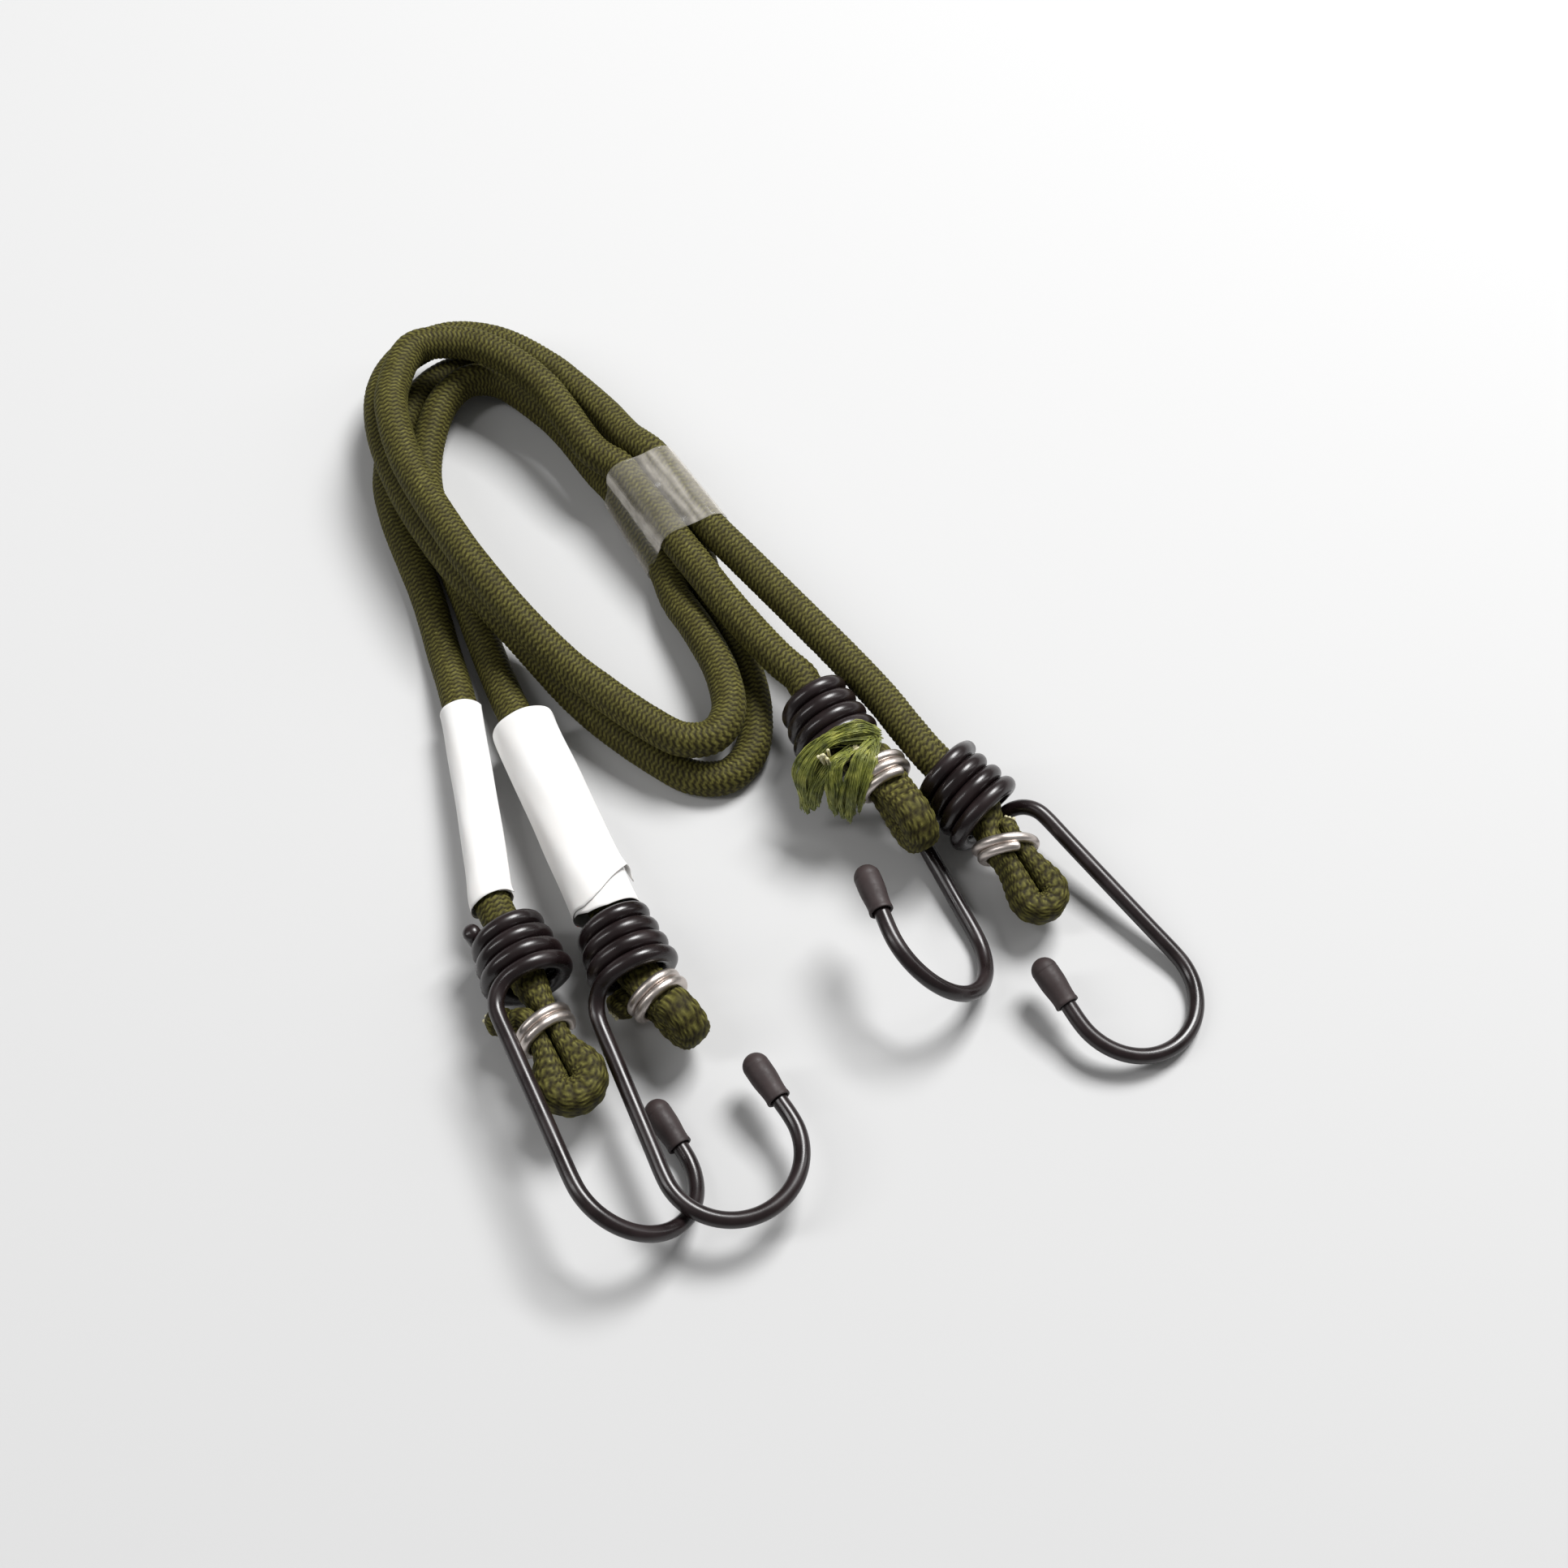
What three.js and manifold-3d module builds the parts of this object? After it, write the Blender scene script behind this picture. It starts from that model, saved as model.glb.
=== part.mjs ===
// A pair of elastic cords with coil-wound wire hooks, folded into a hank and held by clear tape.
// Millimetres, +Z up. The hank lies flat, with the four hooks towards -Y.

import * as THREE from 'three';
import { mergeVertices } from 'three/addons/utils/BufferGeometryUtils.js';
import Module from 'manifold-3d';

const wasm = await Module();
wasm.setup();

const degrees = THREE.MathUtils.degToRad;

// Sizes of the cord and its rubber core
const cordDiameter = 8;
const cordSides = 8;
const cordStep = 5;
const coreDiameter = 2.6;
const coreDepth = 2.2;
const coreShows = 0.6;
const meetingGap = 0.35;
const cordRadius = cordDiameter / 2;
const onFloor = cordRadius - cordDiameter / 10;

// Sizes of the wire hook, whose coil opens from narrow to wide around the cord
const wireDiameter = 3.5;
const wireSides = 8;
const wireStep = 2.8;
const coilClearance = 0.45;
const coilFlare = 2.1;
const coilGap = 0.5;
const coilTurns = 4;
const coilStart = degrees(225);
const coilStub = 4;
const kneeRadius = 6.9;
const bendRadius = 14.5;
const bendSweep = degrees(190);
const coilNarrowRadius = cordRadius + coilClearance + wireDiameter / 2;
const coilWideRadius = coilNarrowRadius + coilFlare;
const coilPitch = wireDiameter + coilGap;

// Sizes of the rubber cap on the hook's tip
const capGrip = 7.8;
const capWall = 0.4;
const capBulb = 0.35;
const capEndWall = 3.4;
const capClearance = 0.4;

// Sizes of the wire ring that clamps the folded cord end
const ringWire = 1.8;
const ringSides = 6;
const ringGap = 0.45;
const ringTurns = 2.15;
const ringClearance = 0.75;
const pinchWidth = cordRadius * 0.475;
const pinchHeight = cordRadius * 0.8;
const legOffset = pinchWidth + 0.25;
const foldHeight = cordRadius * 0.975;
const foldGap = 0.4;
const ringAcross = legOffset + pinchWidth + ringClearance + ringWire / 2;
const ringOut = pinchHeight + 2 * ringClearance + ringWire / 2;
const ringPitch = ringWire + ringGap;
const ringHalf = (ringPitch * ringTurns + ringWire) / 2 + 0.3;
const tailWidth = cordRadius * 0.625;
const tailHeight = cordRadius * 0.675;

// Sizes of the clear tape round the four strands
const tapeLength = 21;
const tapeThickness = 0.35;
const tapeClearance = 0.5;
const tapeHeading = degrees(-62);
const tapeCentre = new THREE.Vector2(-28, 61);
const strandStep = cordDiameter + 0.8;
const leanAtHooks = 3.6;
const leanAtLoop = 1.2;
const tapedHeight = cordRadius + tapeClearance + tapeThickness;

// Sizes of the rolled paper sleeves
const paperThickness = 0.4;
const paperLapGap = 0.45;
const paperTurns = 1.12;
const tightSleeveRadius = cordRadius + 0.45;
const looseSleeveRadius = cordRadius + 2.4;

// Where each hook lies: the coil's middle, its height over a coil resting on the floor,
// the coil's heading and tilt, and how far the hook is swivelled round the cord.
// The wire is bent by hand, so shank and tip differ a little from hook to hook.
// Then the folded end inside it: the clamp ring's centre, the fold's yaw and length,
// the side that the return leg is on, and the points of the cut tail.
const hooks = {
  left_outer: {
    at: [-47.5, -60.7], lift: 0.5, heading: -64.7, tilt: 2.2, swivel: -33, shank: 48.4, tip: 9,
    ring: [13.6, -1.2, 0], yaw: 3, foldSide: 180, foldLength: 19.6, foldWidth: 15.8,
    tail: [[7.8, -6.6, -1.8], [3.8, -10.8, -2.6]],
  },
  left_inner: {
    at: [-25.2, -59.2], lift: 0.5, heading: -66.8, tilt: -0.6, swivel: -3.3, shank: 44.7, tip: 12,
    ring: [7.2, 2.6, 0], yaw: 21.5, foldSide: -90, foldLength: 13.6, foldWidth: 15,
    tail: [[2.4, -1.2, -3.4], [3, -4.4, -4.2], [4.6, -6.8, -4.6]],
  },
  right_inner: {
    at: [19, -5.4], lift: 3, heading: -63.6, tilt: -4.6, swivel: 138, shank: 49.7, tip: 12,
    ring: [11.7, 4.8, 2.6], yaw: 4.8, foldSide: 90, foldLength: 19.2, foldWidth: 15,
    tail: [[6.2, 2.4, 6.2], [5.6, 0.4, 8.2]],
  },
  right_outer: {
    at: [50.7, -22], lift: 2, heading: -48.4, tilt: -9, swivel: 172, shank: 49.7, tip: 12,
    ring: [8.9, -1.8, 0], yaw: -9, foldSide: 0, foldLength: 18.6, foldWidth: 13.2,
    tail: [[4.2, 3.2, 0.4]],
  },
};

// The frayed tail of the right inner cord: lobes of loose threads, in that end's axes,
// each with its middle and its half sizes
const frayLobes = [
  { middle: [5.6, -1.4, 9.8], half: [3.1, 5.4, 4.8] },
  { middle: [8.8, -7, 6], half: [4.8, 5.4, 5.4] },
  { middle: [12.8, -8.8, 2.5], half: [4.6, 5.2, 4.6] },
];
const frayClearance = 0.5;

// Materials
function material(color, roughness, metalness) {
  return new THREE.MeshStandardMaterial({ color, roughness, metalness });
}
const cordCloth = () => material('#565c2b', 0.85, 0);
const frayedThread = () => material('#5f7a2c', 0.9, 0);
const rubberCore = () => material('#cfc7a8', 0.8, 0);
const blackWire = () => material('#231d1a', 0.3, 0.6);
const rubberCap = () => material('#3a3133', 0.7, 0);
const nickelWire = () => material('#b8a9a0', 0.3, 1);
const whitePaper = () => material('#f1f0ec', 0.9, 0);
const clearTape = () => material('#e4e6e2', 0.15, 0);

// The scene
const group = new THREE.Group();

function addMesh(parent, name, geometry, itsMaterial) {
  const mesh = new THREE.Mesh(geometry, itsMaterial);
  mesh.name = name;
  parent.add(mesh);
  return mesh;
}

// A regular section for cord and wire
function roundSection(radius, sides) {
  const corners = [];
  for (let i = 0; i < sides; i += 1) {
    const angle = (2 * Math.PI * (i + 0.5)) / sides;
    corners.push(new THREE.Vector2(radius * Math.cos(angle), radius * Math.sin(angle)));
  }
  return new THREE.Shape(corners);
}

function tube(path, diameter, sides, step) {
  const steps = Math.max(1, Math.round(path.getLength() / step));
  const section = roundSection(diameter / 2, sides);
  return new THREE.ExtrudeGeometry(section, { extrudePath: path, steps });
}

const spanDivisions = 40;

function smoothCurve(points) {
  const curve = new THREE.CatmullRomCurve3(points, false, 'centripetal');
  curve.arcLengthDivisions = spanDivisions * (points.length - 1);
  return curve;
}

// Least gap between parts of one tube that lie more than three diameters apart along it
function leastGap(path, diameter) {
  const count = Math.round(path.getLength());
  const points = path.getSpacedPoints(count);
  let least = Infinity;
  for (let i = 0; i < count; i += 1) {
    for (let j = i + Math.ceil(3 * diameter); j <= count; j += 1) {
      least = Math.min(least, points[i].distanceTo(points[j]) - diameter);
    }
  }
  return least;
}

function printGap(name, path, diameter) {
  console.log(`${name}: least gap to itself ${leastGap(path, diameter).toFixed(2)} mm`);
}

// Solid cuts
function toSolid(geometry) {
  const bare = geometry.clone();
  bare.deleteAttribute('normal');
  bare.deleteAttribute('uv');
  const joined = mergeVertices(bare, 1e-4);
  const vertProperties = new Float32Array(joined.attributes.position.array);
  const triVerts = new Uint32Array(joined.index.array);
  return new wasm.Manifold(new wasm.Mesh({ numProp: 3, vertProperties, triVerts }));
}

function toGeometry(solid) {
  const mesh = solid.getMesh();
  const geometry = new THREE.BufferGeometry();
  geometry.setAttribute('position', new THREE.BufferAttribute(mesh.vertProperties, 3));
  geometry.setIndex(new THREE.BufferAttribute(mesh.triVerts, 1));
  geometry.computeVertexNormals();
  return geometry;
}

// The floor, which flattens the cord where it lies
const floorSize = 500;
const floorDepth = 40;
const floorBox = new THREE.BoxGeometry(floorSize, floorSize, floorDepth);
const floorBlock = toSolid(floorBox.translate(0, 0, -floorDepth / 2));

function flattenOnFloor(geometry) {
  return toGeometry(toSolid(geometry).subtract(floorBlock));
}

// A body through a row of rings, with a blind hole in its last face where one is given
function loft(rings, holeRings = []) {
  const sides = rings[0].length;
  const all = [...rings, ...holeRings];
  const positions = all.flat().flatMap((point) => point.toArray());
  const indices = [];
  for (let ring = 0; ring + 1 < all.length; ring += 1) {
    for (let side = 0; side < sides; side += 1) {
      const next = (side + 1) % sides;
      const here = ring * sides;
      const there = here + sides;
      indices.push(here + side, here + next, there + next);
      indices.push(here + side, there + next, there + side);
    }
  }
  const last = (all.length - 1) * sides;
  for (let side = 1; side + 1 < sides; side += 1) {
    indices.push(0, side + 1, side);
    indices.push(last, last + side, last + side + 1);
  }
  const geometry = new THREE.BufferGeometry();
  geometry.setAttribute('position', new THREE.Float32BufferAttribute(positions, 3));
  geometry.setIndex(indices);
  geometry.computeVertexNormals();
  return geometry;
}

// The frame of a hook's coil: X along the cord and out of the wide end, Z up
function endFrame(hook) {
  const frame = new THREE.Group();
  frame.position.set(...hook.at, coilWideRadius + wireDiameter / 2 + hook.lift);
  frame.rotation.set(0, -degrees(hook.tilt), degrees(hook.heading), 'ZYX');
  frame.updateMatrixWorld();
  return frame;
}

const ends = {};
for (const [name, hook] of Object.entries(hooks)) {
  ends[name] = endFrame(hook);
  group.add(ends[name]);
}

// A point on the axis of a coil, this far along it
function onAxis(name, along) {
  return ends[name].localToWorld(new THREE.Vector3(along, 0, 0));
}

const cordEndStart = -(coilTurns * coilPitch) - 0.5;

// The hook: a cone of coils, a knee, the shank, the bend and the tip
const leaveAngle = Math.PI - Math.atan2(kneeRadius, coilWideRadius);
const shankSide = Math.hypot(coilWideRadius, kneeRadius);

function bendPoint(hook, angle) {
  const along = hook.shank + bendRadius * Math.sin(angle);
  const sideways = bendRadius - shankSide - bendRadius * Math.cos(angle);
  return new THREE.Vector3(along, sideways, 0);
}

function hookCurve(hook) {
  const points = [];
  const end = leaveAngle + coilTurns * 2 * Math.PI;
  const advance = coilPitch / (2 * Math.PI);
  const onCoil = (angle) => {
    const share = (angle - coilStart) / (end - coilStart);
    const radius = THREE.MathUtils.lerp(coilNarrowRadius, coilWideRadius, share);
    const along = advance * (angle - coilTurns * 2 * Math.PI);
    return new THREE.Vector3(along, radius * Math.cos(angle), radius * Math.sin(angle));
  };
  const startSlope = -advance / coilNarrowRadius;
  const startWay = new THREE.Vector3(startSlope, Math.sin(coilStart), -Math.cos(coilStart));
  points.push(onCoil(coilStart).addScaledVector(startWay, coilStub));
  points.push(onCoil(coilStart).addScaledVector(startWay, coilStub / 2));
  const coilSteps = Math.round(((end - coilStart) / (2 * Math.PI)) * 24);
  for (let i = 0; i <= coilSteps; i += 1) {
    points.push(onCoil(coilStart + ((end - coilStart) * i) / coilSteps));
  }
  const kneeStart = onCoil(end);
  const leaving = new THREE.Vector3(0, -Math.sin(end), Math.cos(end));
  for (let turn = 15; turn <= 90; turn += 15) {
    const point = kneeStart.clone();
    point.addScaledVector(leaving, kneeRadius * Math.sin(degrees(turn)));
    point.x += kneeRadius * (1 - Math.cos(degrees(turn)));
    points.push(point);
  }
  const kneeEnd = points.at(-1);
  for (const share of [0.2, 0.5, 0.8]) {
    points.push(kneeEnd.clone().lerp(bendPoint(hook, 0), share));
  }
  const bendSteps = 18;
  for (let i = 0; i <= bendSteps; i += 1) {
    points.push(bendPoint(hook, (bendSweep * i) / bendSteps));
  }
  const tipWay = new THREE.Vector3(Math.cos(bendSweep), Math.sin(bendSweep), 0);
  for (const share of [0.3, 0.65, 1]) {
    points.push(bendPoint(hook, bendSweep).addScaledVector(tipWay, hook.tip * share));
  }
  return smoothCurve(points);
}

// The cap: a blind rubber tube with a bulb, open towards the bend
function capGeometry(hook) {
  const bore = wireDiameter / 2 + capClearance;
  const mouth = bore + capWall;
  const bulb = mouth + capBulb;
  const start = hook.tip - capGrip;
  const floor = hook.tip + meetingGap;
  const end = floor + capEndWall;
  const profile = [[0, floor], [bore, floor], [bore, start], [mouth - 0.1, start]];
  profile.push([mouth, start + 0.3], [mouth, start + 3], [bulb, start + 6], [bulb, end - bulb]);
  for (let turn = 15; turn < 90; turn += 15) {
    profile.push([bulb * Math.cos(degrees(turn)), end - bulb + bulb * Math.sin(degrees(turn))]);
  }
  profile.push([0, end]);
  const points = profile.map(([radius, height]) => new THREE.Vector2(radius, height));
  return new THREE.LatheGeometry(points, 12);
}

function addHook(name) {
  const hook = hooks[name];
  const hookPath = hookCurve(hook);
  printGap(`hook_${name}`, hookPath, wireDiameter);
  const swivel = new THREE.Group();
  swivel.rotation.x = degrees(hook.swivel);
  ends[name].add(swivel);
  addMesh(swivel, `hook_${name}`, tube(hookPath, wireDiameter, wireSides, wireStep), blackWire());
  const cap = addMesh(swivel, `hook_tip_${name}`, capGeometry(hook), rubberCap());
  cap.position.copy(bendPoint(hook, bendSweep));
  cap.rotation.z = bendSweep - Math.PI / 2;
}

// The folded end of a cord: in through the coil, round a fold and back to the clamp ring
function foldAxes(hook) {
  const along = new THREE.Vector3(Math.cos(degrees(hook.yaw)), Math.sin(degrees(hook.yaw)), 0);
  const right = new THREE.Vector3(-along.y, along.x, 0);
  const up = new THREE.Vector3(0, 0, 1);
  const across = right.multiplyScalar(Math.cos(degrees(hook.foldSide)));
  across.addScaledVector(up, Math.sin(degrees(hook.foldSide)));
  const out = along.clone().cross(across);
  return { along, across, out };
}

function foldStations(hook) {
  const { along, across } = foldAxes(hook);
  const centre = new THREE.Vector3(...hook.ring);
  const at = (forward, sideways) => {
    return centre.clone().addScaledVector(along, forward).addScaledVector(across, sideways);
  };
  const stations = [];
  const add = (point, wide, high) => stations.push({ point, wide, high });
  for (const share of [0, 0.5, 1]) {
    add(new THREE.Vector3(cordEndStart * (1 - share) - 1 * share, 0, 0), cordRadius, cordRadius);
  }
  add(at(-ringHalf, -legOffset), pinchWidth, pinchHeight);
  add(at(ringHalf, -legOffset), pinchWidth, pinchHeight);
  const foldSwell = (hook.foldWidth / 2 - foldGap) / 2;
  const foldRadius = foldSwell + foldGap;
  const turnCentre = hook.foldLength - foldRadius - foldSwell;
  for (let turn = -90; turn <= 90; turn += 30) {
    const forward = turnCentre + foldRadius * Math.cos(degrees(turn));
    add(at(forward, foldRadius * Math.sin(degrees(turn))), foldSwell, foldHeight);
  }
  add(at(ringHalf, legOffset), pinchWidth, pinchHeight);
  add(at(-ringHalf, legOffset), pinchWidth, pinchHeight);
  for (const point of hook.tail) {
    add(new THREE.Vector3(...point), tailWidth, tailHeight);
  }
  return stations;
}

// One ring of a lofted cord, oval where the cord is pinched
function ovalRing(centre, way, out, wide, high) {
  const high3 = out.clone().addScaledVector(way, -out.dot(way)).normalize();
  const wide3 = high3.clone().cross(way);
  const ring = [];
  for (let i = 0; i < cordSides; i += 1) {
    const angle = (2 * Math.PI * (i + 0.5)) / cordSides;
    const point = centre.clone().addScaledVector(wide3, wide * Math.cos(angle));
    ring.push(point.addScaledVector(high3, high * Math.sin(angle)));
  }
  return ring;
}

const tails = {};

function addCordEnd(name) {
  const hook = hooks[name];
  const stations = foldStations(hook);
  const { along, across, out } = foldAxes(hook);
  const path = smoothCurve(stations.map((station) => station.point));
  const rings = [];
  const perStation = 2;
  const count = perStation * (stations.length - 1);
  for (let i = 0; i <= count; i += 1) {
    const before = stations[Math.floor(i / perStation)];
    const after = stations[Math.ceil(i / perStation)];
    const wide = (before.wide + after.wide) / 2;
    const high = (before.high + after.high) / 2;
    rings.push(ovalRing(path.getPoint(i / count), path.getTangent(i / count), out, wide, high));
  }
  const tailEnd = path.getPoint(1);
  const tailWay = path.getTangent(1);
  tails[name] = { tailEnd, tailWay };
  const bore = (coreDiameter / 2 + meetingGap) / Math.cos(Math.PI / cordSides);
  const boreEnd = tailEnd.clone().addScaledVector(tailWay, -coreDepth);
  const holeRings = [tailEnd, boreEnd].map((point) => ovalRing(point, tailWay, out, bore, bore));
  addMesh(ends[name], `cord_end_${name}`, loft(rings, holeRings), cordCloth());

  const coreLength = coreDepth - meetingGap + coreShows;
  const core = new THREE.CylinderGeometry(coreDiameter / 2, coreDiameter / 2, coreLength, cordSides);
  const plug = addMesh(ends[name], `core_${name}`, core, rubberCore());
  plug.quaternion.setFromUnitVectors(new THREE.Vector3(0, 1, 0), tailWay);
  plug.position.copy(tailEnd).addScaledVector(tailWay, coreShows - coreLength / 2);

  const ringPoints = [];
  const ringSteps = 36;
  for (let i = 0; i <= ringSteps; i += 1) {
    const turn = ringTurns * (i / ringSteps - 0.5);
    const angle = -2 * Math.PI * turn;
    const point = new THREE.Vector3(...hook.ring).addScaledVector(along, ringPitch * turn);
    point.addScaledVector(across, ringAcross * Math.cos(angle));
    ringPoints.push(point.addScaledVector(out, ringOut * Math.sin(angle)));
  }
  const ringPath = smoothCurve(ringPoints);
  const ringStep = ringPath.getLength() / ringSteps;
  addMesh(ends[name], `clamp_ring_${name}`, tube(ringPath, ringWire, ringSides, ringStep), nickelWire());
  printGap(`clamp_ring_${name}`, ringPath, ringWire);
}

for (const name of Object.keys(hooks)) {
  addHook(name);
  addCordEnd(name);
}

// The frayed tail, a lobed tuft of loose threads round the cut end and its core
function addFray() {
  const { tailEnd, tailWay } = tails.right_inner;
  const lobes = frayLobes.map(({ middle, half }) => {
    return toSolid(new THREE.SphereGeometry(1, 14, 10).scale(...half).translate(...middle));
  });
  const reach = 6;
  const clear = tailHeight + frayClearance;
  const around = new THREE.CylinderGeometry(clear, clear, 2 * reach, 12);
  around.translate(0, coreShows + frayClearance - reach, 0);
  around.applyQuaternion(new THREE.Quaternion().setFromUnitVectors(new THREE.Vector3(0, 1, 0), tailWay));
  around.translate(...tailEnd.toArray());
  const tuft = lobes[0].add(lobes[1]).add(lobes[2]).subtract(toSolid(around));
  addMesh(ends.right_inner, 'frayed_tail_right_inner', toGeometry(tuft), frayedThread());
}
addFray();

// A place inside the tape: along it towards the hooks, in this column and layer of strands
function tapePoint(along, column, layer) {
  const share = along / tapeLength + 0.5;
  const lean = layer * THREE.MathUtils.lerp(leanAtLoop, leanAtHooks, share);
  const rise = layer * Math.sqrt(strandStep ** 2 - lean ** 2);
  const side = column * strandStep + lean;
  const x = tapeCentre.x + along * Math.cos(tapeHeading) - side * Math.sin(tapeHeading);
  const y = tapeCentre.y + along * Math.sin(tapeHeading) + side * Math.cos(tapeHeading);
  return new THREE.Vector3(x, y, tapedHeight + rise);
}

function tapedRun(column, layer) {
  return [12.5, 8, 0, -8, -12.5].map((along) => tapePoint(along, column, layer));
}

function route(points) {
  return points.map((point) => (point.isVector3 ? point : new THREE.Vector3(...point)));
}

// The inner cord, from the right inner hook to the left inner hook
const cordStart = cordEndStart - meetingGap;
const innerCord = {
  lead_right: route([
    onAxis('right_inner', cordStart), onAxis('right_inner', cordStart - 2.5), [5.7, 16.7, 14.6],
    [-0.6, 24.9, 13.9], [-7.6, 34.8, 13.3], [-12.9, 42.9, 13],
  ]),
  loop: route([
    ...tapedRun(0, 1),
    [-39, 77, 13.8], [-53, 96, 16.5], [-65.5, 105.5, 17.5], [-73.5, 108, 17.5], [-84, 105.5, 18.5],
    [-88, 91.5, 19.5], [-87, 82.5, 20.5], [-82, 68, 20.5], [-68.5, 44.5, 21], [-63.5, 37.5, 20.5],
    [-53.5, 26, 17.5], [-42.5, 16, 13.5], [-35.5, 10.5, 12.5], [-25, 2.5, 12], [-16, -2.5, 11.7],
    [-9.5, -1.5, 11.3], [-6, 4.5, 10.8], [-7.5, 16, 9.5], [-13.5, 30, 7.5], [-18.5, 39.5, 5.5],
    ...tapedRun(0, 0),
    [-38.5, 78.5, 4], [-47, 90.5, 4.5], [-53, 96.5, 5.5], [-65, 105, 6.5], [-72.5, 104, 7.5],
    [-78, 98, 6.5], [-81, 84.5, 5], [-80.5, 74, 4], [-76.5, 62, onFloor],
  ]),
  lead_left: route([
    [-67.5, 39.5, onFloor], [-62, 25, onFloor], [-57.4, 13.5, 4.6], [-52.2, 2, 6.6], [-44.5, -16, 8.4],
    onAxis('left_inner', cordStart - 9.5), onAxis('left_inner', cordStart),
  ]),
};

// The outer cord, from the right outer hook to the left outer hook
const outerCord = {
  lead_right: route([
    onAxis('right_outer', cordStart), onAxis('right_outer', cordStart - 2.5), [33.8, -1.6, 14.9],
    [28.4, 7, 14.2], [20.6, 17.6, 13.4], [8.6, 32.3, 13.1], [-2.3, 45.4, 12.9],
  ]),
  loop: route([
    ...tapedRun(1, 1),
    [-31.5, 83, 12.3], [-37, 90, 12], [-45.5, 99, 12], [-52, 105, 12], [-65, 113, 12],
    [-78, 115, 11], [-87.5, 109.5, 10.5], [-92, 100, 11], [-91.5, 87, 12], [-84, 66.5, 12],
    [-71, 45.5, 12], [-61, 34, 11], [-55, 28, 8.5], [-38.5, 11, onFloor], [-21.5, -3, onFloor],
    [-13.5, -7.5, onFloor], [-6, -7, onFloor], [-1, -1, onFloor], [0, 10, onFloor], [-3, 24, onFloor],
    [-11, 44, onFloor],
    ...tapedRun(1, 0),
    [-30, 83, 3.6], [-35.5, 90, onFloor], [-47.5, 103.5, onFloor], [-60, 112.5, onFloor],
    [-71.5, 112.5, onFloor], [-81.5, 107, onFloor], [-88.5, 93, onFloor], [-90, 77, onFloor],
    [-87.5, 66, onFloor],
  ]),
  lead_left: route([
    [-77.5, 41, onFloor], [-72.5, 25.5, onFloor], [-69.5, 16.5, 4.7], [-67.3, 9, 5.9], [-64, -6, 6.8],
    [-60.5, -22, 7.8], [-57.8, -35, 8.9],
    onAxis('left_outer', cordStart - 4), onAxis('left_outer', cordStart),
  ]),
};

// Part of a longer curve, between two lengths along it
class Stretch extends THREE.Curve {
  constructor(whole, from, to) {
    super();
    this.whole = whole;
    this.from = from;
    this.to = to;
    this.arcLengthDivisions = Math.ceil(to - from);
  }

  getPoint(share, target = new THREE.Vector3()) {
    const along = THREE.MathUtils.lerp(this.from, this.to, share);
    return this.whole.getPointAt(along / this.whole.getLength(), target);
  }
}

// Each cord is one smooth curve, cut into its two leads and its loop
function addCord(name, cord) {
  const points = Object.values(cord).flat();
  const curve = smoothCurve(points);
  const lengths = curve.getLengths();
  const stretches = {};
  let first = 0;
  for (const [part, partPoints] of Object.entries(cord)) {
    const next = Math.min(first + partPoints.length, points.length - 1);
    const from = lengths[first * spanDivisions] + (first > 0 ? meetingGap / 2 : 0);
    const to = lengths[next * spanDivisions] - (next < points.length - 1 ? meetingGap / 2 : 0);
    stretches[part] = new Stretch(curve, from, to);
    first = next;
    const body = tube(stretches[part], cordDiameter, cordSides, cordStep);
    addMesh(group, `${name}_${part}`, flattenOnFloor(body), cordCloth());
  }
  printGap(`${name}_loop`, stretches.loop, cordDiameter);
  console.log(`${name}: ${curve.getLength().toFixed(0)} mm from coil to coil`);
  return curve;
}

addCord('inner_cord', innerCord);
const outerCurve = addCord('outer_cord', outerCord);

// A strip of paper rolled a little more than once, seen along the roll
function rollSection(innerRadius) {
  const steps = 20;
  const spiral = (lift) => {
    const points = [];
    for (let i = 0; i <= steps; i += 1) {
      const turn = (paperTurns * i) / steps;
      const radius = innerRadius + lift + (paperThickness + paperLapGap) * turn;
      const angle = 2 * Math.PI * turn;
      points.push(new THREE.Vector2(radius * Math.cos(angle), radius * Math.sin(angle)));
    }
    return points;
  };
  return new THREE.Shape([...spiral(paperThickness), ...spiral(0).reverse()]);
}

function addSleeve(name, path, innerRadius, steps) {
  const roll = new THREE.ExtrudeGeometry(rollSection(innerRadius), { extrudePath: path, steps });
  addMesh(group, `paper_sleeve_${name}`, roll, whitePaper());
}

// The loose sleeve lies straight; the tight one bends with its cord
const looseSleeveTop = new THREE.Vector3(-51.4, 3.8, 8.2);
const looseSleeve = new THREE.LineCurve3(looseSleeveTop, onAxis('left_inner', cordStart - 0.3));
addSleeve('left_inner', looseSleeve, looseSleeveRadius, 1);

const outerLength = outerCurve.getLength();
const tightSleeve = new Stretch(outerCurve, outerLength - 57.5, outerLength - 4);
addSleeve('left_outer', tightSleeve, tightSleeveRadius, 9);

// The tape: a thin band drawn tight round the four strands
function tapeRing(along, offset) {
  const corners = [[0, 0, 180], [1, 0, 270], [1, 1, 0], [0, 1, 90]];
  const cornerSteps = 4;
  const side = new THREE.Vector3(-Math.sin(tapeHeading), Math.cos(tapeHeading), 0);
  const points = [];
  for (const [column, layer, from] of corners) {
    for (let i = 0; i <= cornerSteps; i += 1) {
      const angle = degrees(from + (90 * i) / cornerSteps);
      const point = tapePoint(along, column, layer).addScaledVector(side, offset * Math.cos(angle));
      point.z += offset * Math.sin(angle);
      points.push(point);
    }
  }
  return points.reverse();
}

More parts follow.
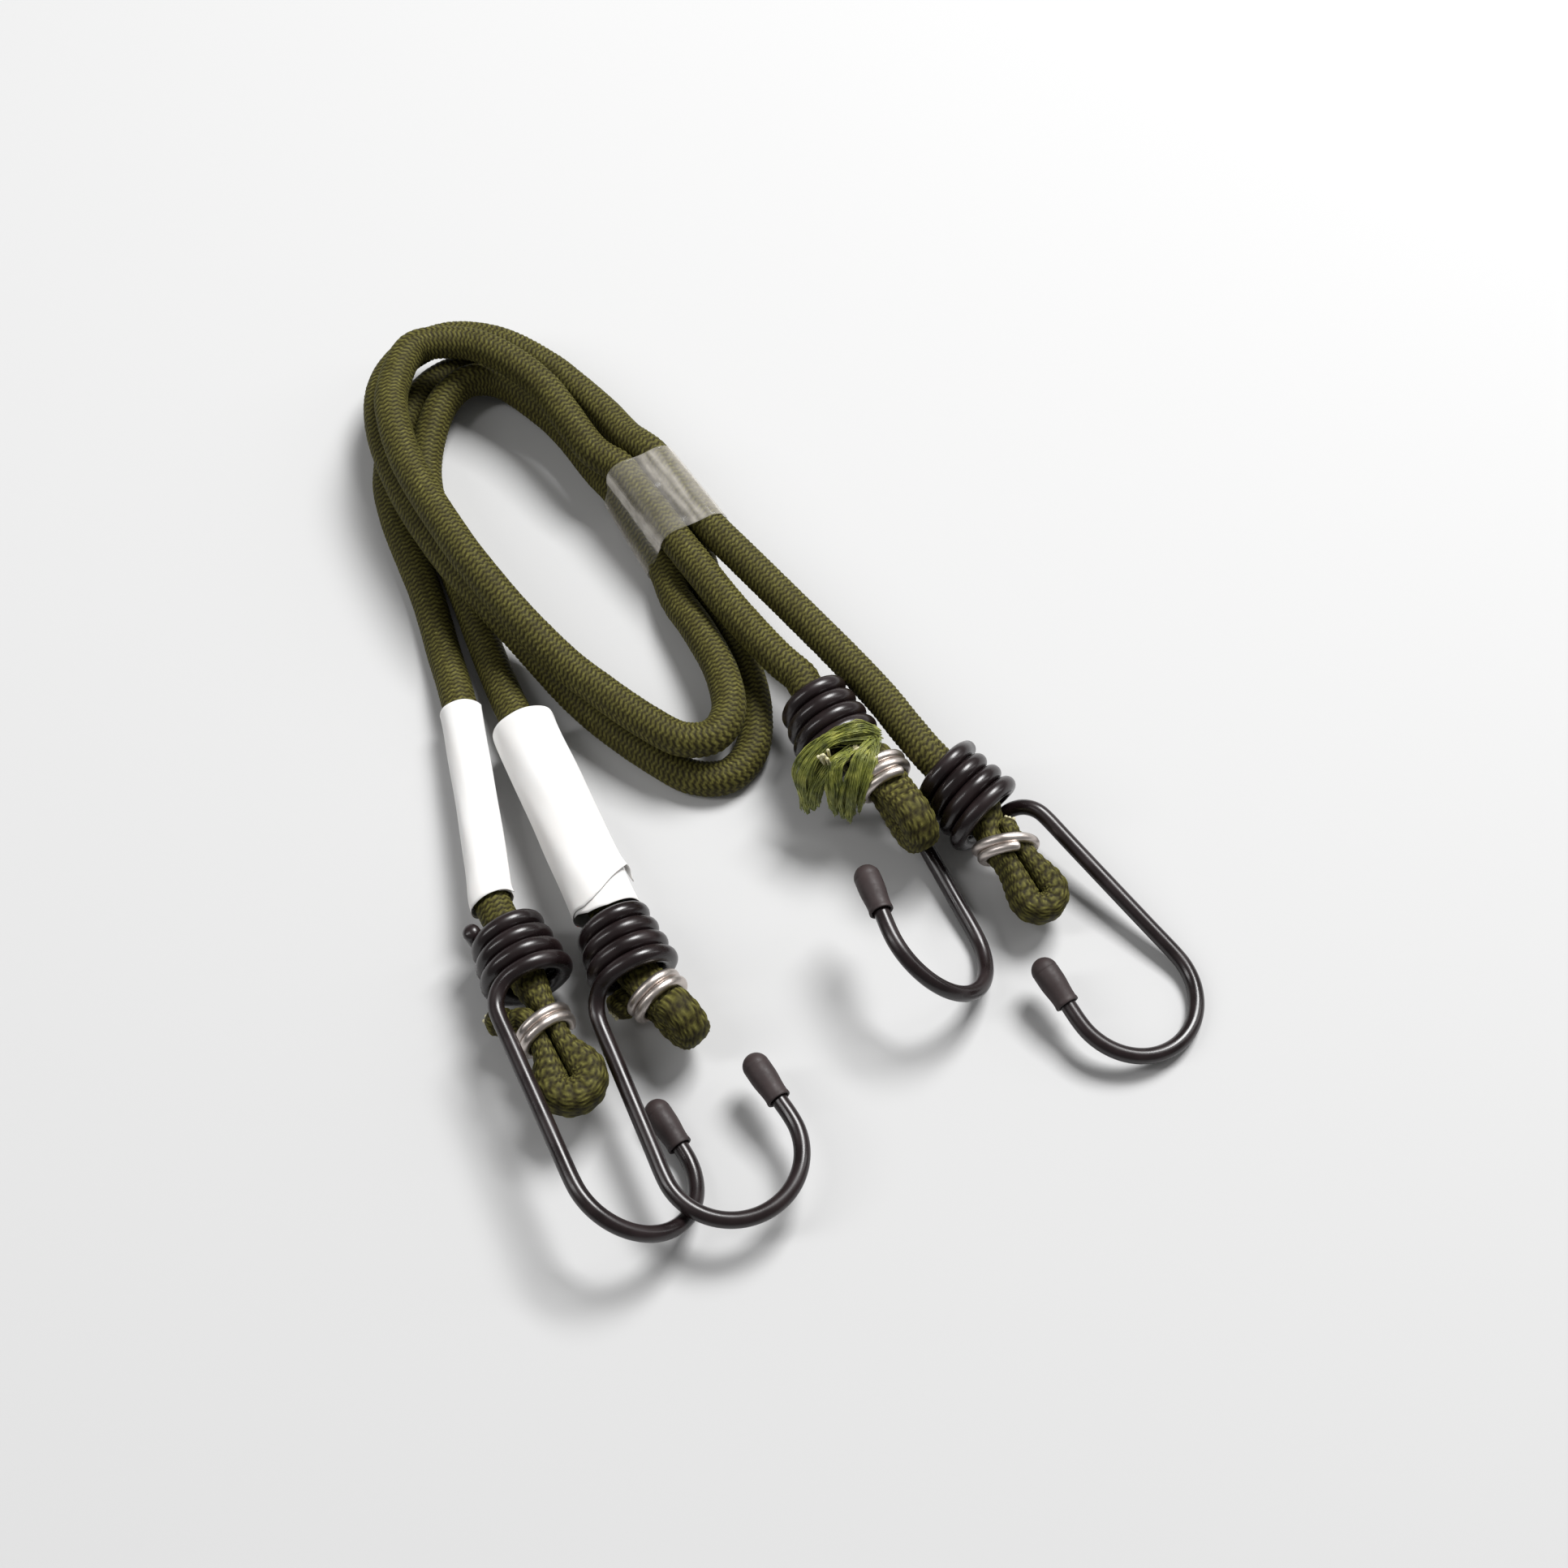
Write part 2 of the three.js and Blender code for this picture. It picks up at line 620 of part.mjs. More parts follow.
function addTape() {
  const inside = cordRadius + tapeClearance;
  const rows = [0.5, 0, -0.5];
  const outer = loft(rows.map((share) => tapeRing(share * tapeLength, inside + tapeThickness)));
  const inner = loft(rows.map((share) => tapeRing(1.2 * share * tapeLength, inside)));
  addMesh(group, 'tape_band', toGeometry(toSolid(outer).subtract(toSolid(inner))), clearTape());
}
addTape();

export default group;
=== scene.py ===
# %% [markdown]
# # A pair of elastic cords with wire hooks
#
# Two braided elastic cords lie folded together in one hank, each with a hook of black-coated
# wire at both ends, held by a band of clear tape. The solid model says where everything is;
# this lesson adds the braid, the gloss of the wire, the paper and the tape.
#
# The solids come in first. The dressed model has to stay that size.

# %% The solid model
import math

import bpy
import numpy as np
from mathutils import Matrix, Vector


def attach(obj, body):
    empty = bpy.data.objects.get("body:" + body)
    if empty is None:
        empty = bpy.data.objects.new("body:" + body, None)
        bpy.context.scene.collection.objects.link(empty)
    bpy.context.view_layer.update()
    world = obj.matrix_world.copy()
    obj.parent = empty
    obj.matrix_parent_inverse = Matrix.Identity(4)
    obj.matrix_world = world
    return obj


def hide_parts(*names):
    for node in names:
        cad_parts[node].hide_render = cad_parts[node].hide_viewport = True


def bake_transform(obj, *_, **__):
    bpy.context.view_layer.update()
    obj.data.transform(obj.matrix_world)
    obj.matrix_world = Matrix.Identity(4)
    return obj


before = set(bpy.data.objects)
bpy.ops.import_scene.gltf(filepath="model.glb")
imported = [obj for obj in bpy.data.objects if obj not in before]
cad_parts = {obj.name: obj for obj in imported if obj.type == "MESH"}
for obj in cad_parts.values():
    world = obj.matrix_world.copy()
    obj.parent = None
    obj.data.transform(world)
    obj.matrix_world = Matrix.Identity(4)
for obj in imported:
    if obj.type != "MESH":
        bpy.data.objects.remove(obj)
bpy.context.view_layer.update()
scene = bpy.context.scene
MM = 0.001

# %% [markdown]
# ## The camera
#
# A small object on a table is usually photographed from above with a short telephoto lens. Here
# the camera stands half a metre away, 60 degrees above the table. Its rotation is worked out
# from the line of sight, which needs no tracking constraint.

# %% The camera
camera_data = bpy.data.cameras.new("camera")
camera_data.sensor_width = 36
camera_data.lens = 50.8
camera = bpy.data.objects.new("camera", camera_data)
scene.collection.objects.link(camera)
scene.camera = camera
look_at = Vector((0.0066, -0.0073, 0))
camera_distance, camera_rise = 0.502, math.radians(60)
line_of_sight = Vector((0, math.cos(camera_rise), -math.sin(camera_rise)))
camera.location = look_at - camera_distance * line_of_sight
camera.rotation_euler = line_of_sight.to_track_quat("-Z", "Y").to_euler()
print("camera at", [round(x, 4) for x in camera.location])

# %% [markdown]
# ## Smooth lines
#
# Cord, wire and rings all follow lines through a few chosen points. A Bezier curve could do
# that, but a braid needs to know how far along the cord each point is. So the line is a
# centripetal Catmull-Rom spline, which passes every point without overshooting, divided into
# equal steps.

# %% Lines through points, and frames along them
SPAN_STEPS = 40


def through(points):
    """A fine line through the points, SPAN_STEPS steps from each to the next."""
    p = np.array(points, float)
    p = np.vstack([2 * p[0] - p[1], p, 2 * p[-1] - p[-2]])
    share = np.linspace(0, 1, SPAN_STEPS, endpoint=False)[:, None]
    spans = []
    for before, start, end, after in zip(p[:-3], p[1:-2], p[2:-1], p[3:]):
        gaps = start - before, end - start, after - end
        t0, t1, t2 = (math.sqrt(np.linalg.norm(gap)) for gap in gaps)
        leave = ((start - before) / t0 - (end - before) / (t0 + t1) + (end - start) / t1) * t1
        reach = ((end - start) / t1 - (after - start) / (t1 + t2) + (after - end) / t2) * t1
        bend = -3 * start + 3 * end - 2 * leave - reach
        twist = 2 * start - 2 * end + leave + reach
        spans.append(start + share * leave + share**2 * bend + share**3 * twist)
    return np.vstack([*spans, p[-2:-1]])


def lengths_along(line):
    steps = np.linalg.norm(np.diff(line, axis=0), axis=1)
    return np.concatenate([[0], np.cumsum(steps)])


def even_line(points, step):
    """Points on the smooth line about step apart, and how far along it the given points are."""
    fine = through(points)
    along = lengths_along(fine)
    count = max(2, round(along[-1] / step) + 1)
    at = np.linspace(0, along[-1], count)
    line = np.stack([np.interp(at, along, fine[:, axis]) for axis in range(3)], axis=1)
    return line, at, along[::SPAN_STEPS]


def unit(v):
    return v / np.linalg.norm(v, axis=-1, keepdims=True)


def frames_along(line):
    """Tangent, normal and side at each point, carried along the line without twisting."""
    tangent = unit(np.gradient(line, axis=0))
    normal = np.zeros_like(tangent)
    carried = np.array([0, 0, 1.0])
    if abs(carried @ tangent[0]) > 0.95:
        carried = np.array([1.0, 0, 0])
    for i, t in enumerate(tangent):
        carried = carried - (carried @ t) * t
        carried = carried / np.linalg.norm(carried)
        normal[i] = carried
    return tangent, normal, np.cross(tangent, normal)


# %% [markdown]
# ## Meshes from rings
#
# A tube is a row of rings of points joined by quads. Building it from arrays is faster than
# adding faces one by one, and puts each point where it should be. A wire that ends in the open
# gets its last rings drawn in to a dome.

# %% Meshes from rows of rings
def new_piece(name, points, faces):
    """A smooth mesh object from points in millimetres."""
    mesh = bpy.data.meshes.new(name)
    mesh.from_pydata((points * MM).tolist(), [], faces)
    mesh.polygons.foreach_set("use_smooth", [True] * len(faces))
    piece = bpy.data.objects.new(name, mesh)
    scene.collection.objects.link(piece)
    return piece


def tube_mesh(name, *tubes):
    """One mesh of closed tubes, each an array of rings x sides x 3."""
    faces, first = [], 0
    for count, sides, _ in (rings.shape for rings in tubes):
        ring = first + np.arange(count - 1)[:, None] * sides
        here, ahead = ring + np.arange(sides), ring + (np.arange(sides) + 1) % sides
        quads = np.stack([here, ahead, ahead + sides, here + sides], axis=-1)
        faces += quads.reshape(-1, 4).tolist()
        end = first + count * sides
        faces += [list(range(first, first + sides))[::-1], list(range(end - sides, end))]
        first = end
    return new_piece(name, np.vstack([rings.reshape(-1, 3) for rings in tubes]), faces)


def circle(sides):
    """Cosine and sine of the points of a ring, as columns."""
    angle = 2 * np.pi * (np.arange(sides)[:, None] + 0.5) / sides
    return np.cos(angle), np.sin(angle)


DOME = np.radians([25, 48, 68, 84])
DOME_HEIGHT = 0.7


def wire_rings(line, radius, sides, domed=True):
    """Rings of a round wire along a line, with domed ends."""
    tangent, normal, side = frames_along(line)
    cosine, sine = circle(sides)
    ring = lambda i, r, shift: line[i] + shift * tangent[i] + r * (cosine * normal[i] + sine * side[i])
    rings = [ring(i, radius, 0) for i in range(len(line))]
    if domed:
        ends = [(radius * math.cos(a), DOME_HEIGHT * radius * math.sin(a)) for a in DOME]
        rings = [ring(0, r, -rise) for r, rise in ends[::-1]] + rings
        rings += [ring(-1, r, rise) for r, rise in ends]
    return np.array(rings)


# %% [markdown]
# ## Where the four ends lie
#
# Each cord end has its own axes: X runs along the cord out of the wide end of the coil, Z is
# roughly up. The same numbers placed the solids, so the dressed pieces fall on them. The wire
# was bent by hand: stub, shank and tip differ a little from hook to hook, and so does the clamp
# ring, which is given by its middle, the turns where it starts and ends, and how far it leans.

# %% The places of the hooks
CORD_RADIUS = 4.0
WIRE_RADIUS = 1.75
COIL_NARROW = CORD_RADIUS + 0.45 + WIRE_RADIUS
COIL_WIDE = COIL_NARROW + 2.1
COIL_TURNS, COIL_PITCH = 4, 4.0
COIL_START = math.radians(225)

HOOKS = {
    "left_outer": dict(
        at=(-47.5, -60.7), lift=0.5, heading=-64.7, tilt=2.2, swivel=-33, stub=4, shank=48.4, tip=9,
        ring=(13.6, -1.2, 0), ring_span=(-1.1, 0.55), ring_lean=0.25, yaw=3,
        fold_side=180, fold_length=19.6, fold_width=15.8, tail=[(7.8, -6.6, -1.8), (3.8, -10.8, -2.6)],
    ),
    "left_inner": dict(
        at=(-25.2, -59.2), lift=0.5, heading=-66.8, tilt=-0.6, swivel=-3.3, stub=0.8, shank=44.7, tip=12,
        ring=(7.2, 2.6, 0), ring_span=(-1.075, 1.075), ring_lean=0, yaw=21.5,
        fold_side=-90, fold_length=13.6, fold_width=15,
        tail=[(3.4, -1.2, -3.5), (4.3, -4.4, -4.2), (5.6, -6.8, -4.6)],
    ),
    "right_inner": dict(
        at=(19, -5.4), lift=3, heading=-63.6, tilt=-4.6, swivel=138, stub=4, shank=49.7, tip=12,
        ring=(11.7, 4.4, 2.6), ring_span=(-1.075, 1.075), ring_lean=0, yaw=4.2,
        fold_side=90, fold_length=19.2, fold_width=15, tail=[(6.2, 2.4, 6.2), (5.6, 0.4, 8.2)],
    ),
    "right_outer": dict(
        at=(50.7, -22), lift=2, heading=-48.4, tilt=-9, swivel=172, stub=4, shank=49.7, tip=12,
        ring=(8.9, -1.8, 0), ring_span=(-0.95, 0.75), ring_lean=0.4, yaw=-9,
        fold_side=0, fold_length=18.6, fold_width=13.2, tail=[(4.2, 3.2, 0.4)],
    ),
}


def end_axes(name):
    """The matrix from an end's own axes, in millimetres, to the model's, in millimetres."""
    hook = HOOKS[name]
    place = Matrix.Translation((*hook["at"], COIL_WIDE + WIRE_RADIUS + hook["lift"]))
    turn = Matrix.Rotation(math.radians(hook["heading"]), 4, "Z")
    return place @ turn @ Matrix.Rotation(-math.radians(hook["tilt"]), 4, "Y")


def placed(matrix, points):
    m = np.array(matrix, float)
    return np.asarray(points, float) @ m[:3, :3].T + m[:3, 3]


def on_axis(name, along):
    return placed(end_axes(name), [(along, 0, 0)])[0]


# %% [markdown]
# ## The routes of the cords
#
# The hank was folded by hand, so no formula gives its loops: the points are chosen one by one,
# and the solids follow the same ones. Inside the tape the four strands lie close together in
# two columns and two layers; the upper layer leans over, more at one edge of the tape than at
# the other.

# %% Strands inside the tape
TAPE_LENGTH = 21
TAPE_HEADING = math.radians(-62)
TAPE_CENTRE = (-28, 61)
STRAND_STEP = 8.8
STRAND_HEIGHT = CORD_RADIUS + 0.85
LAYER_LEAN = (1.2, 3.6)
ON_FLOOR = 3.2


def tape_point(along, column, layer):
    least, most = LAYER_LEAN
    lean = layer * (least + (most - least) * (along / TAPE_LENGTH + 0.5))
    rise = layer * math.sqrt(STRAND_STEP**2 - lean**2)
    side = column * STRAND_STEP + lean
    x = TAPE_CENTRE[0] + along * math.cos(TAPE_HEADING) - side * math.sin(TAPE_HEADING)
    y = TAPE_CENTRE[1] + along * math.sin(TAPE_HEADING) + side * math.cos(TAPE_HEADING)
    return (x, y, STRAND_HEIGHT + rise)


def taped_run(column, layer):
    return [tape_point(along, column, layer) for along in (12.5, 8, 0, -8, -12.5)]


def on_floor(*spots):
    return [(x, y, ON_FLOOR) for x, y in spots]


# %% The inner cord's points
CORD_START = -COIL_TURNS * COIL_PITCH - 0.85
INNER_RIGHT = [
    on_axis("right_inner", CORD_START), on_axis("right_inner", CORD_START - 2.5), (5.7, 16.7, 14.6),
    (-0.6, 24.9, 13.9), (-7.6, 34.8, 13.3), (-12.9, 42.9, 13),
]
INNER_LOOP = [
    *taped_run(0, 1),
    (-39, 77, 13.8), (-53, 96, 16.5), (-65.5, 105.5, 17.5), (-73.5, 108, 17.5), (-84, 105.5, 18.5),
    (-88, 91.5, 19.5), (-87, 82.5, 20.5), (-82, 68, 20.5), (-68.5, 44.5, 21), (-63.5, 37.5, 20.5),
    (-53.5, 26, 17.5), (-42.5, 16, 13.5), (-35.5, 10.5, 12.5), (-25, 2.5, 12), (-16, -2.5, 11.7),
    (-9.5, -1.5, 11.3), (-6, 4.5, 10.8), (-7.5, 16, 9.5), (-13.5, 30, 7.5), (-18.5, 39.5, 5.5),
    *taped_run(0, 0),
    (-38.5, 78.5, 4), (-47, 90.5, 4.5), (-53, 96.5, 5.5), (-65, 105, 6.5), (-72.5, 104, 7.5),
    (-78, 98, 6.5), (-81, 84.5, 5), (-80.5, 74, 4), *on_floor((-76.5, 62)),
]
INNER_LEFT = [
    *on_floor((-67.5, 39.5), (-62, 25)), (-57.4, 13.5, 4.6), (-52.2, 2, 6.6), (-44.5, -16, 8.4),
    on_axis("left_inner", CORD_START - 9.5), on_axis("left_inner", CORD_START),
]

# %% The outer cord's points
OUTER_RIGHT = [
    on_axis("right_outer", CORD_START), on_axis("right_outer", CORD_START - 2.5), (33.8, -1.6, 14.9),
    (28.4, 7, 14.2), (20.6, 17.6, 13.4), (8.6, 32.3, 13.1), (-2.3, 45.4, 12.9),
]
OUTER_LOOP = [
    *taped_run(1, 1),
    (-31.5, 83, 12.3), (-37, 90, 12), (-45.5, 99, 12), (-52, 105, 12), (-65, 113, 12),
    (-78, 115, 11), (-87.5, 109.5, 10.5), (-92, 100, 11), (-91.5, 87, 12), (-84, 66.5, 12),
    (-71, 45.5, 12), (-61, 34, 11), (-55, 28, 8.5),
    *on_floor((-38.5, 11), (-21.5, -3), (-13.5, -7.5), (-6, -7), (-1, -1), (0, 10), (-3, 24), (-11, 44)),
    *taped_run(1, 0),
    (-30, 83, 3.6),
    *on_floor((-35.5, 90), (-47.5, 103.5), (-60, 112.5), (-71.5, 112.5), (-81.5, 107), (-88.5, 93)),
    *on_floor((-90, 77), (-87.5, 66)),
]
OUTER_LEFT = [
    *on_floor((-77.5, 41), (-72.5, 25.5)), (-69.5, 16.5, 4.7), (-67.3, 9, 5.9), (-64, -6, 6.8),
    (-60.5, -22, 7.8), (-57.8, -35, 8.9),
    on_axis("left_outer", CORD_START - 4), on_axis("left_outer", CORD_START),
]

# %% [markdown]
# ## The folded ends
#
# Inside its hook the cord doubles back and a wire ring clamps it, so that the thick fold can't
# slip out through the coil. Under the ring both legs are pinched to thin ovals; beyond it the
# fold swells again. Each station is a point in the end's own axes with the cord's half width
# and half height there.

# %% Stations of a folded end
PINCH_WIDE, PINCH_HIGH = 2.4, 4.3
LEG_OFFSET = 2.15
FOLD_HIGH, FOLD_GAP = 3.9, 0.4
TAIL_WIDE, TAIL_HIGH = 2.9, 3.1
RING_WIRE, RING_PITCH, RING_TURNS = 1.8, 2.25, 2.15
RING_HALF = (RING_PITCH * RING_TURNS + RING_WIRE) / 2 + 0.3


def fold_axes(hook):
    yaw, side = math.radians(hook["yaw"]), math.radians(hook["fold_side"])
    along = np.array([math.cos(yaw), math.sin(yaw), 0])
    right = np.array([-along[1], along[0], 0])
    across = right * math.cos(side) + np.array([0, 0, 1]) * math.sin(side)
    return along, across, np.cross(along, across)


def fold_stations(hook):
    along, across, _ = fold_axes(hook)
    centre = np.array(hook["ring"], float)
    at = lambda forward, sideways: centre + along * forward + across * sideways
    stations = [((-8.75, 0, 0), CORD_RADIUS, CORD_RADIUS), ((-1, 0, 0), CORD_RADIUS, CORD_RADIUS)]
    stations += [(at(x, -LEG_OFFSET), PINCH_WIDE, PINCH_HIGH) for x in (-RING_HALF, RING_HALF)]
    swell = (hook["fold_width"] / 2 - FOLD_GAP) / 2
    radius = swell + FOLD_GAP
    turn_centre = hook["fold_length"] - radius - swell
    for turn in np.radians(np.arange(-90, 91, 30)):
        bend = at(turn_centre + radius * math.cos(turn), radius * math.sin(turn))
        stations.append((bend, swell, FOLD_HIGH))
    stations += [(at(x, LEG_OFFSET), PINCH_WIDE, PINCH_HIGH) for x in (RING_HALF, -RING_HALF)]
    return stations + [(point, TAIL_WIDE, TAIL_HIGH) for point in hook["tail"]]


# %% [markdown]
# ## The braid
#
# The sheath is a braid of 22 yarns, each passing over two and under two. What is seen is a
# herringbone: narrow columns of short ribs that lean one way in one column and the other way in
# the next. On a slack cord the ribs lie nearly across it, 1.26 mm apart; where the cord is
# drawn round a fold the braid opens, and the ribs grow longer and lean more.
#
# A bump texture would leave the cord's outline smooth, so the ribs are real relief: two points
# to each column and five rings to each rib. The height of each point is also kept as an
# attribute, with which the material paints shade into the grooves and a highlight on the rib tops.

# %% A braided tube
COLUMNS = 22
SIDES = 2 * COLUMNS
COLUMN_WIDTH = 2 * np.pi * CORD_RADIUS / COLUMNS
RIB_PITCH, FOLD_RIB_PITCH = 1.26, 2.2
RIB_LEAN, FOLD_RIB_LEAN = math.radians(27), math.radians(50)
RIB_RELIEF, RELIEF_MIDDLE = 0.27, 0.75
RING_STEP = RIB_PITCH / 5
YARN_HEIGHTS = np.random.default_rng(3).uniform(0.66, 1.0, (997, COLUMNS))
FLOOR_GAP, FLOOR_RELIEF = 0.05, 0.12


def eased(at, knots, values):
    """Values between knots, with soft starts and stops."""
    i = np.clip(np.searchsorted(knots, at, side="right") - 1, 0, len(knots) - 2)
    t = np.clip((at - knots[i]) / (knots[i + 1] - knots[i]), 0, 1)
    values = np.asarray(values, float)
    return values[i] + (values[i + 1] - values[i]) * t * t * (3 - 2 * t)


def braided_tube(name, line, at, wide, high, high_way, folded, press):
    """A braided cord along a line in millimetres. folded is 1 where the braid is drawn open: the
    grooves and seams are deeper there, the yarns more even and the section fuller. press is a
    last change to the rings."""
    tangent, normal, side = frames_along(line)
    angle = 2 * np.pi * np.arange(SIDES)[None, :, None] / SIDES
    way = np.cos(angle) * normal[:, None] + np.sin(angle) * side[:, None]
    high_3 = unit(high_way - np.sum(high_way * tangent, axis=1, keepdims=True) * tangent)
    wide_3 = np.cross(high_3, tangent)
    around = np.arctan2(np.einsum("ijk,ik->ij", way, high_3), np.einsum("ijk,ik->ij", way, wide_3))

    pitch = RIB_PITCH + (FOLD_RIB_PITCH - RIB_PITCH) * folded
    lean = RIB_LEAN + (FOLD_RIB_LEAN - RIB_LEAN) * folded
    ribs = np.cumsum(np.diff(at) * 2 / (pitch[1:] + pitch[:-1]))
    phase = np.concatenate([[0], ribs]) + at[0] / RIB_PITCH
    zigzag = np.array([0, 0.5, 1, 0.5])[np.arange(SIDES) % 4]
    rib = phase[:, None] + (COLUMN_WIDTH * np.tan(lean) / pitch)[:, None] * zigzag
    fold = folded[:, None]
    ridge = 1 - (0.5 - 0.5 * np.cos(2 * np.pi * rib)) ** (2.2 + 0.3 * fold)
    seam = np.where(np.arange(SIDES) % 2 == 0, 0.86 - 0.34 * fold, 1.0)
    uneven = YARN_HEIGHTS[np.floor(rib).astype(int) % len(YARN_HEIGHTS), np.arange(SIDES) // 2]
    ridge = ridge * seam * (1 - (1 - uneven) * (1 - 0.6 * fold))
    lift = RIB_RELIEF * (1 + 0.35 * fold) * (ridge - RELIEF_MIDDLE)

    fuller = lambda wave: np.sign(wave) * np.abs(wave) ** (1 - 0.3 * fold)
    rings = line[:, None] + (
        ((wide[:, None] + lift) * fuller(np.cos(around)))[..., None] * wide_3[:, None]
        + ((high[:, None] + lift) * fuller(np.sin(around)))[..., None] * high_3[:, None]
    )
    rings = press(rings, line)
    rings[..., 2] = np.maximum(rings[..., 2], FLOOR_GAP + FLOOR_RELIEF * (1 - ridge))
    piece = tube_mesh(name, rings)
    # Each point's height, which the material turns into painted shade in the grooves and a painted highlight
    # on the rib tops.
    attribute = piece.data.attributes.new("ridge", "FLOAT", "POINT")
    attribute.data.foreach_set("value", ridge.astype(np.float32).ravel())
    braid_map(piece, at, phase)
    return piece


# %% [markdown]
# A cord is long and thin, and an automatic unwrap would cut its bumpy surface into thousands of
# scraps. The tube knows its own flat shape, so that strip is laid into the square map in a few
# lengths side by side. A second map holds yarns around and ribs along, for the fine threads of
# the material.

# %% The cord's two maps
def braid_map(piece, at, phase):
    spans = len(at) - 1
    ring_of_face = np.repeat(np.arange(spans), SIDES)
    side_of_face = np.tile(np.arange(SIDES), spans)
    ring_corner = ring_of_face[:, None] + np.array([0, 0, 1, 1])
    side_corner = side_of_face[:, None] + np.array([0, 1, 1, 0])

    length, girth = at[-1] - at[0], 2 * math.pi * CORD_RADIUS
    strips = max(1, round(math.sqrt(length / girth)))
    per_strip = math.ceil(spans / strips)
    strip = (ring_of_face // per_strip)[:, None]
    u = (strip + 0.02 + 0.96 * side_corner / SIDES) / strips
    v = 0.01 + 0.98 * (ring_corner - strip * per_strip) / per_strip
    ends = np.full((2 * SIDES, 2), 0.001)
    maps = {"OFBake": (u, v), "braid": (side_corner / 2.0, phase[ring_corner])}
    for map_name, (corner_u, corner_v) in maps.items():
        layer = piece.data.uv_layers.new(name=map_name)
        flat = np.stack([corner_u.ravel(), corner_v.ravel()], axis=1)
        layer.data.foreach_set("uv", np.vstack([flat, ends]).astype(np.float32).ravel())
    piece.data.uv_layers["OFBake"].active_render = True


# %% [markdown]
# ## The two cords
#
# When someone pulls a hook, the cord between it and the tape stretches. So each cord is three
# pieces of one unbroken line: the loop that the tape holds, and at each end a lead with its
# folded end. The cuts lie at the tape's edge and under the left-hand strands, and the ribs run
# on across them.

# %% The press of the clamp ring
def pressed_fold(name):
    """The ring squeezes the two legs of a fold together. Their inner sides are flat against each
    other, and only a small dimple is left inside the turn."""
    hook = HOOKS[name]
    to_end = end_axes(name).inverted()
    axes = np.stack(fold_axes(hook))
    centre = np.array(hook["ring"], float)
    swell = (hook["fold_width"] / 2 - FOLD_GAP) / 2
    turn_at = hook["fold_length"] - 2 * swell - FOLD_GAP
    press_start = -RING_HALF - 2

    def press(rings, line):
        ring, middle = ((placed(to_end, points) - centre) @ axes.T for points in (rings, line))
        for i in range(len(line)):
            forward, side = middle[i, :2]
            in_turn = forward > turn_at
            if forward < press_start or abs(side) < 0.6 * LEG_OFFSET and not in_turn:
                continue
            if in_turn:
                off = ring[i, :, :2] - (turn_at, 0)
                far = np.linalg.norm(off, axis=1)
                own = math.hypot(forward - turn_at, side)
                inner, reach = own - far, own - 0.3
            else:
                inner, reach = (side - ring[i, :, 1]) * np.sign(side), abs(side) - 0.04
            deepest = inner.max()
            if deepest < 0.1:
                continue
            amount = np.clip((forward - press_start) / 2, 0, 1)
            stretch = 1 + (np.clip(reach / deepest, 0.3, 1.9) - 1) * amount
            shift = np.where(inner > 0, inner * (stretch - 1), 0)
            if in_turn:
                ring[i, :, :2] -= off / np.maximum(far, 1e-6)[:, None] * shift[:, None]
            else:
                ring[i, :, 1] -= shift * np.sign(side)
        return placed(end_axes(name), ring @ axes + centre)

    return press


# %% One line for each cord, from tail to tail
TAIL_ROUND = 2.2
FOLD_STARTS, FOLD_FADE = 5, 10
ENDS_OF = {"inner_cord": ("right_inner", "left_inner"), "outer_cord": ("right_outer", "left_outer")}


def fold_line(name):
    """Points and sizes of a folded end in the model's axes, from the coil to the tail."""
    points, wide, high = zip(*fold_stations(HOOKS[name]))
    return list(placed(end_axes(name), points)), list(wide), list(high)


def make_cord(name, right, loop, left):
    right_end, left_end = ENDS_OF[name]
    right_fold, right_wide, right_high = fold_line(right_end)
    left_fold, left_wide, left_high = fold_line(left_end)
    points = right_fold[::-1] + right + loop + left + left_fold
    line, at, knots = even_line(points, RING_STEP)
    plain = [CORD_RADIUS] * (len(right) + len(loop) + len(left))
    to_cut = np.minimum(at, at[-1] - at) / TAIL_ROUND
    tail_shape = np.sqrt(1 - 0.8 * np.clip(1 - to_cut, 0, 1) ** 2)
    wide = eased(at, knots, right_wide[::-1] + plain + left_wide) * tail_shape
    high = eased(at, knots, right_high[::-1] + plain + left_high) * tail_shape

    right_out, left_out = (
        np.array(end_axes(end), float)[:3, :3] @ fold_axes(HOOKS[end])[2] for end in ENDS_OF[name]
    )
    high_way = np.where((at < at[-1] / 2)[:, None], right_out, left_out)
    first, last = len(right_fold), len(points) - len(left_fold) - 1
    into_right = (knots[first] - FOLD_STARTS - at) / FOLD_FADE
    into_left = (at - knots[last] - FOLD_STARTS) / FOLD_FADE
    folded = np.clip(into_right, 0, 1) + np.clip(into_left, 0, 1)

    cuts = [0, knots[first + len(right)], knots[last - len(left) + 1], at[-1]]
    presses = {
        "right": pressed_fold(right_end), "loop": lambda rings, line: rings, "left": pressed_fold(left_end),
    }
    pieces = {}
    for (part, press), start, end in zip(presses.items(), cuts[:-1], cuts[1:]):
        i, j = np.searchsorted(at, [start - 1e-6, end - 1e-6])
        chosen = slice(i, min(j + 1, len(at)))
        rows = (data[chosen] for data in (line, at, wide, high, high_way, folded))
        tube = braided_tube(f"{name}_braid_{part}", *rows, press)
        pieces[part] = (tube, line[chosen] * MM, (end - start) * MM)
        print(tube.name, f"{end - start:.0f} mm", len(tube.data.polygons), "faces")
    print(name, f"{at[-1]:.0f} mm from tail to tail")
    return pieces


cords = {
    "inner_cord": make_cord("inner_cord", INNER_RIGHT, INNER_LOOP, INNER_LEFT),
    "outer_cord": make_cord("outer_cord", OUTER_RIGHT, OUTER_LOOP, OUTER_LEFT),
}

